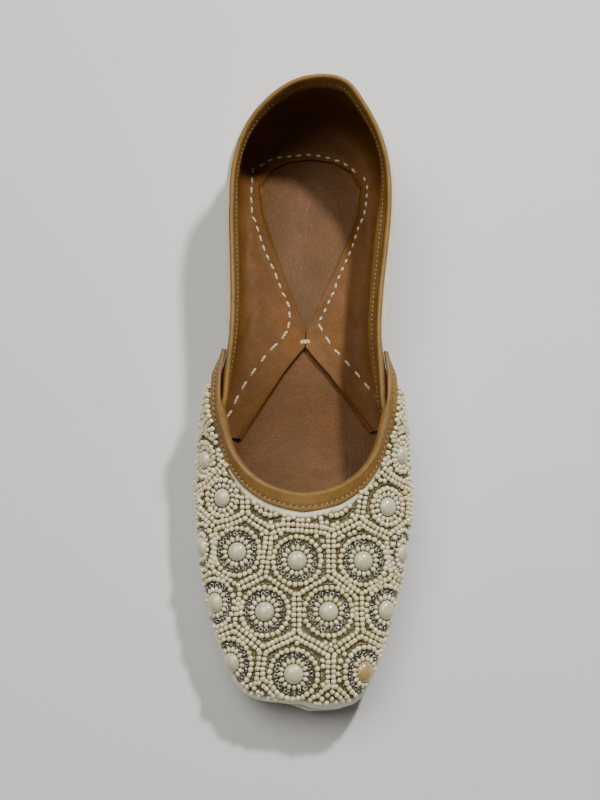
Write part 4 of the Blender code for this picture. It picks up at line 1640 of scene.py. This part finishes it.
def joined_tubes(name, tubes, sides, material):
    """One mesh of many thin tubes, each closed at both ends."""
    vertices = []
    faces = []
    first = 0
    for rings in tubes:
        count = len(rings) // sides
        vertices.append(rings)
        for i in range(count - 1):
            for j in range(sides):
                k = (j + 1) % sides
                a, b = first + i * sides, first + (i + 1) * sides
                faces.append((a + j, a + k, b + k, b + j))
        faces.append(tuple(first + j for j in reversed(range(sides))))
        faces.append(tuple(first + (count - 1) * sides + j for j in range(sides)))
        first += len(rings)
    return sewn_piece(name, np.vstack(vertices), faces, material, np.full(first, 0.5))


def sew_rosettes(rosettes, draw):
    """The rosettes' beads, pearls and wire."""
    ivory, petals, silver, pearls, gold_pearls, wires = [], [], [], [], [], []
    for rosette in rosettes:
        if rosette.kind == "edge":
            continue
        plain = rosette.kind == "plain"
        ivory += ring_of_beads(rosette, PLAIN_IVORY_RING if plain else IVORY_RING, draw)
        for number in range(PETALS):
            angle = 2 * math.pi * number / PETALS + rosette.turn + draw.normal(0, 0.02)
            spot, normal, beaded = rosette.read(angle, PETAL_RING)
            outer = rosette.read(angle, PETAL_RING + 1 * MM)[0]
            if beaded < SEWN_FROM:
                continue
            radial = flattened(outer - spot, normal)
            side = np.cross(normal, radial)
            squeezed = math.hypot(math.cos(angle) * rosette.narrow, math.sin(angle))
            petals.append((spot + normal * PETAL_LIFT, radial * PETAL_HALF_LENGTH * squeezed,
                           side * PETAL_HALF_WIDTH, normal * PETAL_HALF_HEIGHT))
        if not plain:
            for number in range(SILVER_BEADS):
                angle = 2 * math.pi * (number + SILVER_START) / SILVER_BEADS + draw.normal(0, 0.05)
                spot, normal, beaded = rosette.read(angle, SILVER_RING * draw.uniform(*SILVER_RINGS))
                if beaded < SEWN_FROM:
                    continue
                facing = normal + draw.normal(0, SILVER_TILT, 3)
                facing /= np.linalg.norm(facing)
                first = flattened(rosette.across, facing)
                second = np.cross(facing, first)
                radius = SILVER_RADIUS * draw.uniform(*SILVER_SIZES)
                silver.append((spot + normal * SILVER_LIFT, first * radius, second * radius,
                               facing * SILVER_HALF_LENGTH))
        if rosette.beaded > PEARL_SEWN_FROM:
            golden = rosette.kind == "gold"
            radius = PEARL_RADIUS * (GOLD_PEARL_SIZE if golden else draw.uniform(*PEARL_SIZES))
            placing = (rosette.centre + rosette.normal * PEARL_LIFT,
                       rosette.across * radius * max(rosette.narrow, NARROWEST_PEARL),
                       rosette.along * radius, rosette.normal * (PEARL_HEIGHT - PEARL_LIFT))
            (gold_pearls if golden else pearls).append(placing)
        wire_radius = PLAIN_WIRE_RING if plain else WIRE_RING
        run = []
        for step in range(WIRE_WALK + 1):
            angle = 2 * math.pi * step / WIRE_WALK
            spot, normal, beaded = rosette.read(angle, wire_radius)
            room = min(other.far(spot) - rosette.far(spot) for other in rosettes if other is not rosette)
            if beaded > SEWN_FROM and room > WIRE_ROOM:
                run.append((spot, normal))
            else:
                wires.append(run)
                run = []
        wires.append(run)
    long_wires = [run for run in wires if len(run) > SHORTEST_WIRE]
    return ivory, petals, silver, pearls, gold_pearls, long_wires


FILL_APART = 1.62 * MM
FILL_FROM = 11.3 * MM
FILL_SEWN_FROM = 0.6
FILL_LIFT = 0.85
FILL_BEAD_SIZE = 0.96
FILL_PARTS = 60


def fill_gaps(vamp_top, beaded, rosettes, placings, draw):
    """Single beads wherever the lines of beads leave room, mostly where three cells meet."""
    sewn = np.array([cells[0] for cells in placings])
    finer = (vamp_top[1:] + vamp_top[:-1]) / 2
    spots = np.vstack([vamp_top.reshape(-1, 3), finer.reshape(-1, 3)])
    shares = np.concatenate([beaded.ravel(), ((beaded[1:] + beaded[:-1]) / 2).ravel()])
    facing = facing_up(vamp_top, VAMP_LEVELS // 2)
    turned = (facing[1:] + facing[:-1]) / 2
    normals = np.vstack([facing.reshape(-1, 3), turned.reshape(-1, 3)])
    kept = shares > FILL_SEWN_FROM
    spots, normals = spots[kept], normals[kept]
    lifted = spots + normals * BEAD_RADIUS * FILL_LIFT
    order = draw.permutation(len(spots))
    found = []
    for part in np.array_split(order, FILL_PARTS):
        gaps = np.linalg.norm(lifted[part][:, None, :] - sewn[None, :, :], axis=2).min(1)
        for index in part[gaps > FILL_APART]:
            spot = spots[index]
            rings = sorted((rosette.far(spot), rosette.kind) for rosette in rosettes)
            distance, kind = rings[0]
            if kind != "edge" and distance < FILL_FROM:
                continue
            if found and np.linalg.norm(np.array(found)[:, 0:3] - lifted[index], axis=1).min() < FILL_APART:
                continue
            found.append(np.concatenate([lifted[index], spot, normals[index]]))
    beads = []
    for cells in found:
        normal = cells[6:9] / np.linalg.norm(cells[6:9])
        tangent = flattened(draw.normal(size=3), normal)
        beads.append(strung(cells[3:6], tangent, normal, draw, FILL_BEAD_SIZE))
    return beads


SEED_BEAD = bead_mould(12, 8, 0.10)
METAL_BEAD = bead_mould(12, 8, 0.42)
PETAL_DROP = drop_mould(10, 6, 0.35)
DOME = drop_mould(28, 14)

# The beadwork's pieces, each with its mould, material and slot, and the seed of its beads' tones
CASTINGS = (
    ("filling_beads", SEED_BEAD, IVORY_BEAD, "pearl", 47),
    ("border_beads", SEED_BEAD, IVORY_BEAD, "pearl", 41),
    ("ring_beads", SEED_BEAD, IVORY_BEAD, "pearl", 42),
    ("petal_beads", PETAL_DROP, PETAL_BEAD, "pearl", 43),
    ("silver_beads", METAL_BEAD, SILVER, "metal_cord", 44),
    ("pearls", DOME, PEARL, "pearl", 45),
    ("golden_pearl", DOME, GOLD_PEARL, "pearl", 46),
)


def embroider(vamp_top, beaded):
    """All that is sewn on the panel: beads, pearls and twisted wire."""
    draw = np.random.default_rng(SEED)
    surface = BeadedSurface(vamp_top, beaded)
    rosettes = [Rosette(surface, dict(zip(ROSETTE_COLUMNS, cells)), draw) for cells in ROSETTES]
    ivory, petals, silver, pearls, gold_pearls, wires = sew_rosettes(rosettes, draw)
    borders = []
    for i, a in enumerate(rosettes):
        for b in rosettes[i + 1:]:
            apart = np.linalg.norm(a.centre - b.centre)
            if apart > NEIGHBOURS_WITHIN:
                continue
            line = border_line(surface, rosettes, a, b)
            if len(line) < SHORTEST_BORDER:
                continue
            middle = line[len(line) // 2][0]
            if (a.far(middle) * a.reach - WIRE_RING * a.reach) > DOUBLE_FROM:
                borders += beads_along(line, draw, DOUBLE_LINE)
                borders += beads_along(line, draw, -DOUBLE_LINE)
            else:
                borders += beads_along(line, draw, 0.0)
    filling = fill_gaps(vamp_top, beaded, rosettes, borders + ivory + petals + silver + pearls, draw)
    placings = {
        "filling_beads": filling, "border_beads": borders, "ring_beads": ivory, "petal_beads": petals,
        "silver_beads": silver, "pearls": pearls, "golden_pearl": gold_pearls,
    }
    for name, mould, material, slot, seed in CASTINGS:
        cast(name, mould, placings[name], material, seed)
    tubes = []
    for run in wires:
        points = np.array([cells[0] for cells in run])
        normals = np.array([cells[1] for cells in run])
        length = run_along(points)
        even = np.linspace(0, length[-1], max(8, int(length[-1] / WIRE_STEP)))
        fine = read_line(even, length, points)
        facing = read_line(even, length, normals)
        tubes.append(twisted_wire(fine, facing, WIRE_RADIUS, WIRE_TWIST, WIRE_SIDES, WIRE_LIFT))
    joined_tubes("metal_cord", tubes, WIRE_SIDES, GOLD)


# Threads
THREAD_FROM_HEIGHT = 20 * MM
THREAD_RADIUS = 0.34 * MM
STITCH_POINTS = 11
STITCH_UNDER = 1.25
STITCH_RISE = 1.9
STITCH_SINK = 1.3
STITCH_TURN = 0.10
STITCH_LENGTHS = (0.9, 1.1)
TACK_POINTS = 15
TACK_RADIUS = 0.54 * MM
TACK_HALF = 2.1 * MM
TACK_LEFT = 1.0 * MM
TACK_FORWARD = 0.9
TACK_PLIES = (-0.8, 0.8)
TACK_HEIGHT = 0.75 * MM
TACK_PLY_RADIUS = 0.62 * TACK_RADIUS
PLY_PITCH = 2.4 * MM
PLY_SIDES = 6
TAPE_THREAD_RADIUS = 0.17 * MM
TAPE_STITCH_LENGTH = 1.15 * MM
TAPE_STITCH_SLANT = 0.30 * MM
TAPE_THREAD_LIFT = 0.03 * MM
HOLE_RADIUS = 0.30 * MM
HOLE_SINK = 0.07 * MM
HOLE_RISE = 0.10 * MM
LEAST_MARGIN = 0.4 * MM
NEAR_BY = 0.5 * MM


def two_plies(line, radius):
    """Two plies twisted round a line that lies flat."""
    line = np.array(line)
    up = np.tile(np.array([0.0, 0.0, 1.0]), (len(line), 1))
    return [twisted_wire(line, up, radius, PLY_PITCH, PLY_SIDES, 0.0, phase) for phase in (0, math.pi)]


def lying_thread(surface, spot, direction, length, radius):
    """One stitch of two twisted plies, sunk into the leather at both ends."""
    line = []
    for t in np.linspace(-0.5, 0.5, STITCH_POINTS):
        above = Vector((*(spot + direction * t * length * STITCH_UNDER), THREAD_FROM_HEIGHT))
        found = surface.ray_cast(above, Vector((0, 0, -1)))[0]
        if found is None:
            return []
        bend = math.cos(math.pi * t) ** 0.6
        line.append(np.array(found) + np.array([0, 0, 1]) * radius * (STITCH_RISE * bend - STITCH_SINK))
    return two_plies(line, radius)


def lace_lining(lining_top):
    """The thick running stitches of the lining and the tack at the waist."""
    surface = search_tree(lining_top)
    draw = np.random.default_rng(SEED + 1)
    tubes = []
    for spot, direction, length in STITCHES:
        turned = direction + draw.normal(0, STITCH_TURN, 2)
        turned /= np.linalg.norm(turned)
        length *= draw.uniform(*STITCH_LENGTHS)
        tubes += lying_thread(surface, spot, turned, length, THREAD_RADIUS)
    joined_tubes("lining_stitches", tubes, PLY_SIDES, THREAD)
    tack = []
    for share in TACK_PLIES:
        line = []
        for t in np.linspace(-1, 1, TACK_POINTS):
            x = TACK_MIDDLE[0] * MM + PHOTO_SHIFT - TACK_LEFT + t * TACK_HALF
            y = (TACK_MIDDLE[1] - TACK_FORWARD) * MM + share * TACK_RADIUS * (1 - 0.5 * t * t) + 0.1 * t * MM
            z = flap_plane(y) + TACK_HEIGHT * math.cos(math.pi * t / 2) ** 0.5
            line.append((x, y, z))
        tack += two_plies(line, TACK_PLY_RADIUS)
    joined_tubes("waist_tack", tack, PLY_SIDES, THREAD)


def tape_threads(name, stitches, side, from_edge, slant, shape_at):
    """The short machine stitches of a tape, each with a near-black drop of painted shade in the pricked hole
    at its end.
    """
    threads = []
    hole_shades = []
    for row, edge, inner_face, outer_face, inner_leg, outer_leg in stitches:
        leg = outer_leg if side > 0 else inner_leg
        if leg < from_edge + LEAST_MARGIN:
            continue
        face = outer_face + EDGE_TAPE if side > 0 else inner_face - EDGE_TAPE
        face -= side * (CHANNEL_DEPTH + UNDER_CLEARANCE)
        spots = []
        for turn in (-BESIDE / 2, 0.0, BESIDE / 2):
            drop = np.array([leg - from_edge])
            off = np.array([face])
            drop, off = shape_at(row + turn, drop, off, (inner_face + outer_face) / 2)
            spots.append(SKIN.down(row + turn, edge + drop, off)[0])
        lower = SKIN.down(row, edge + drop + NEAR_BY, off)[0]
        along = unit(spots[2] - spots[0])
        down = lower - spots[1]
        down = down - along * (down @ along)
        down /= max(np.linalg.norm(down), 1e-9)
        out = np.cross(along, down)
        centre = SKIN.down(row, edge + drop, off + side * NEAR_BY)[0]
        if out @ (centre - spots[1]) < 0:
            out = -out
        leaning = along * TAPE_STITCH_LENGTH / 2 + down * slant
        length = np.linalg.norm(leaning)
        across = np.cross(out, leaning / length)
        threads.append((spots[1] + out * TAPE_THREAD_LIFT, leaning, across * TAPE_THREAD_RADIUS,
                        out * TAPE_THREAD_RADIUS * 0.9))
        end = spots[1] + along * TAPE_STITCH_PITCH / 2
        # A near-black drop sunk at the stitch's end: painted shade for its needle hole
        hole_shades.append((end - out * HOLE_SINK, along * HOLE_RADIUS, down * HOLE_RADIUS, out * HOLE_RISE))
    cast(name + "_thread", drop_mould(8, 6), threads, TAN_THREAD, 51)
    cast(name + "_hole_shades", drop_mould(8, 4), hole_shades, HOLE_SHADE, 52)


# The cloth edge between the vamp and the sole round the toe
RAND_START_ROW = 13.0
RAND_STEPS = 260
RAND_THICKNESS = 0.5 * MM
RAND_OVERHANG = 0.35 * MM
RAND_DROP = 1.3 * MM
RAND_TUCKED = 0.5 * MM
RAND_SHORT = 0.4 * MM
RAND_PUFF = 0.25 * MM
RAND_ROLL = 0.75 * MM
RAND_UNDER_ROLL = 0.2 * MM
RAND_CLEARANCE = 0.02 * MM
RAND_EDGE = 0.1 * MM
RAND_THIN_END = 0.35
RAND_FULLNESS = 0.9
RAND_GROWS_OVER = 1.5
RAND_FLAT_POINTS = 9
RAND_ROLL_POINTS = 7


def build_rand():
    """A strip of the vamp's cloth laid on the sole's edge round the toe, and rolled over it."""
    top = []
    under = []
    for row in np.linspace(RAND_START_ROW, len(ROWS) - RAND_START_ROW, RAND_STEPS):
        grown = smooth_step(min(1.0, (rows_from_heel(row) - RAND_START_ROW) / RAND_GROWS_OVER))
        inner = foot_point(row, RAND_TUCKED)
        out = sole_point(row) - inner
        flat = np.linalg.norm(out) - RAND_SHORT + RAND_OVERHANG * grown
        out /= np.linalg.norm(out)
        points = []
        below = []
        for t in np.linspace(0, 1, RAND_FLAT_POINTS):
            spot = inner + out * flat * t
            height = sole_top(spot[1]) + RAND_THICKNESS * (RAND_THIN_END + RAND_FULLNESS * grown)
            height += RAND_PUFF * math.sin(math.pi * t) * grown
            points.append((*spot, height))
            below.append((*spot, sole_top(spot[1]) + RAND_CLEARANCE))
        for angle in np.linspace(0.2, 1.0, RAND_ROLL_POINTS) * math.pi / 2:
            rolled = math.sin(angle) * grown
            height = points[RAND_FLAT_POINTS - 1][2] - (1 - math.cos(angle)) * RAND_DROP * grown
            points.append((*(inner + out * (flat + rolled * RAND_ROLL)), height))
            low = min(below[RAND_FLAT_POINTS - 1][2], height - RAND_EDGE)
            below.append((*(inner + out * (flat + rolled * RAND_UNDER_ROLL)), low))
        top.append(points)
        under.append(below)
    top = np.array(top)
    under = np.array(under)
    for grid in (top, under):
        for spot in grid.reshape(-1, 3):
            spot[1] = trimmed(spot[0], spot[1])
    normals = facing_up(top, 4)
    top += normals * uneven(top, *RAND_RIPPLES)[:, :, None]
    mesh = solid_between("toe_rand", top, under, (CLOTH, CLOTH))
    finish_piece("toe_rand", mesh)


# Insole and sole
PLATE_ROWS = 150
PLATE_COLUMNS = 60
PLATE_END_ROW = 0.05
INSOLE_EDGE = 0.2 * MM
SOLE_EDGE = 0.45 * MM

# Wrinkles of the insole's forefoot and pressed places of its heel
INSOLE_CREASES = (
    (4, -34, 12, 20, 1.3, 0.22),
    (7, -27, 8, 16, 1.1, 0.18),
    (-6, -40, -6, 18, 1.4, 0.18),
    (12, -20, 20, 10, 1.0, 0.14),
    (-2, -30, 35, 9, 0.9, 0.16),
    (10, -36, 28, 8, 0.8, 0.14),
    (2, -22, 24, 9, 0.9, 0.12),
    (1, 70, 88, 20, 9.0, 0.35),
)

# Where the toe's edge is worn back
TOE_TRIM = 2.5 * MM
TOE_TRIM_FROM_Y = -108 * MM
TOE_TRIM_RUN = 14 * MM
TOE_TRIM_FROM_X = 4 * MM
TOE_TRIM_WIDTH = 9 * MM
TOE_CORNER_X = 16 * MM
TOE_CORNER_WIDTH = 8 * MM


def trimmed(x, y):
    """The sole's toe, worn back a little on the left."""
    near = smooth_step((TOE_TRIM_FROM_Y - y) / TOE_TRIM_RUN)
    left = smooth_step((TOE_TRIM_FROM_X - x) / TOE_TRIM_WIDTH)
    corner = 1 - 0.5 * smooth_step((-x - TOE_CORNER_X) / TOE_CORNER_WIDTH)
    return y + TOE_TRIM * near * (left * corner)


def plate_grid(edge_point, inset, height):
    rows = np.linspace(PLATE_END_ROW, TOE_ROW - PLATE_END_ROW, PLATE_ROWS)
    grid = np.zeros((PLATE_ROWS, PLATE_COLUMNS, 3))
    for i, row in enumerate(rows):
        right = edge_point(row, inset)
        left = edge_point(len(ROWS) - row, inset)
        for j, t in enumerate(np.linspace(0, 1, PLATE_COLUMNS)):
            x, y = left * (1 - t) + right * t
            grid[i, j] = (x, trimmed(x, y), height(y))
    return grid


def build_insole():
    def over(y):
        return sole_top(y) + GAP + INSOLE_THICKNESS

    top = plate_grid(foot_point, WALL + GAP, over)
    under = plate_grid(foot_point, WALL + GAP, lambda y: sole_top(y) + GAP)
    top[:, :, 2] -= crease_depths(top, INSOLE_CREASES)
    top[:, :, 2] += uneven(top, *INSOLE_RIPPLES)
    mesh = solid_between("insole_sock", top, under, (INSOLE, INSOLE))
    piece = finish_piece("insole_sock", mesh, ("insole",))
    soften_edges(piece, INSOLE_EDGE)


def build_outsole():
    top = plate_grid(sole_point, 0.0, sole_top)
    under = plate_grid(sole_point, 0.0, tread)
    mesh = solid_between("sole_leather_piece", top, under, (SOLE, SOLE))
    piece = finish_piece("sole_leather_piece", mesh, ("outsole",))
    soften_edges(piece, SOLE_EDGE, 3)


# Camera and light
PHOTO_SIZE = (600, 800)
SENSOR = 36.0
FOCAL_PIXELS = 1395.7
FRAME_MIDDLE = (307.1, 388.3)
CAMERA_PLACE = Vector((-0.24, -173.05, 552.59)) * MM
CAMERA_RIGHT = Vector((0.9999, 0.0119, 0.0060))
CAMERA_UP = Vector((-0.0131, 0.9510, 0.3090))
CAMERA_BACK = Vector((-0.0020, -0.3090, 0.9511))
KEY_DIRECTION = Vector((0.42, 0.60, 1.0))
KEY_DISTANCE = 0.95
KEY_SIZE = 0.085
KEY_POWER = 8.4
KEY_COLOUR = (1.0, 0.965, 0.90)
FILL_DISTANCE = 1.6
FILL_DIRECTION = Vector((-0.32, 0.24, 0.92))
FILL_SIZE = 1.2
FILL_POWER = 16.5
FILL_COLOUR = (1.0, 0.95, 0.86)
SKY_STRENGTH = 0.14
SKY_COLOUR = (1.0, 0.96, 0.90)
FLOOR_COLOUR = (0.70, 0.715, 0.74)
FLOOR_ROUGHNESS = 0.9
FLOOR_SIZE = 3.0
FLOOR_DROP = 0.05 * MM


def make_camera():
    data = bpy.data.cameras.new("camera")
    data.sensor_width = SENSOR
    data.lens = FOCAL_PIXELS / PHOTO_SIZE[1] * SENSOR
    data.shift_x = (PHOTO_SIZE[0] / 2 - FRAME_MIDDLE[0]) / PHOTO_SIZE[1]
    data.shift_y = (FRAME_MIDDLE[1] - PHOTO_SIZE[1] / 2) / PHOTO_SIZE[1]
    data.clip_start = 0.01
    camera = bpy.data.objects.new("camera", data)
    bpy.context.scene.collection.objects.link(camera)
    turned = Matrix((CAMERA_RIGHT, CAMERA_UP, CAMERA_BACK)).transposed()
    camera.matrix_world = Matrix.Translation(CAMERA_PLACE) @ turned.to_4x4()
    bpy.context.scene.camera = camera


def area_light(name, direction, distance, size, power, colour):
    data = bpy.data.lights.new(name, "AREA")
    data.shape = "DISK"
    data.size = size
    data.energy = power
    data.color = colour
    light = bpy.data.objects.new(name, data)
    bpy.context.scene.collection.objects.link(light)
    direction = direction.normalized()
    light.location = direction * distance
    light.rotation_mode = "QUATERNION"
    light.rotation_quaternion = direction.to_track_quat("Z", "Y")


def light_studio():
    area_light("key", KEY_DIRECTION, KEY_DISTANCE, KEY_SIZE, KEY_POWER, KEY_COLOUR)
    area_light("fill", FILL_DIRECTION, FILL_DISTANCE, FILL_SIZE, FILL_POWER, FILL_COLOUR)
    world = bpy.data.worlds.new("studio")
    world.use_nodes = True
    background = world.node_tree.nodes["Background"]
    background.inputs["Color"].default_value = (*SKY_COLOUR, 1)
    background.inputs["Strength"].default_value = SKY_STRENGTH
    bpy.context.scene.world = world


def make_floor():
    floor_material = new_material("floor_look", FLOOR_COLOUR, FLOOR_ROUGHNESS)
    mesh = bpy.data.meshes.new("floor")
    half = FLOOR_SIZE / 2
    corners = [(-half, -half, 0), (half, -half, 0), (half, half, 0), (-half, half, 0)]
    mesh.from_pydata(corners, [], [(0, 1, 2, 3)])
    mesh.materials.append(floor_material)
    floor = bpy.data.objects.new("floor", mesh)
    bpy.context.scene.collection.objects.link(floor)
    floor.location = (0, 0, -FLOOR_DROP)


def bind_quarters():
    """The topline's tape, with a line of stitches outside and one inside."""
    lines = ((1, OUTER_STITCH_FROM_EDGE), (-1, QUARTER_STITCH_UP))
    stitches = build_tape("quarter_tape", "quarter_binding", -TUCK_END_ROW, TUCK_END_ROW, no_drop,
                          quarter_faces, quarter_legs, lines, quarter_shape)
    for (side, from_edge), name in zip(lines, ("quarter_outer", "quarter_inner")):
        tape_threads(name, stitches, side, from_edge, 0.0, quarter_shape)


def bind_vamp():
    """The throat's tape, with one line of stitches outside."""
    lines = ((1, STITCH_FROM_EDGE),)
    stitches = build_tape("vamp_tape", "vamp_binding", WING_ROW, len(ROWS) - WING_ROW, wing_drop,
                          vamp_faces, vamp_legs, lines, vamp_shape)
    tape_threads("vamp_tape", stitches, 1, STITCH_FROM_EDGE, TAPE_STITCH_SLANT, vamp_shape)


def main():
    make_camera()
    light_studio()
    make_floor()
    build_shell()
    lace_lining(build_lining())
    build_insole()
    build_outsole()
    embroider(*build_vamp())
    build_rand()
    bind_quarters()
    bind_vamp()
    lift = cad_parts["heel_lift"]
    for slot in lift.material_slots:
        slot.material = STACK


main()
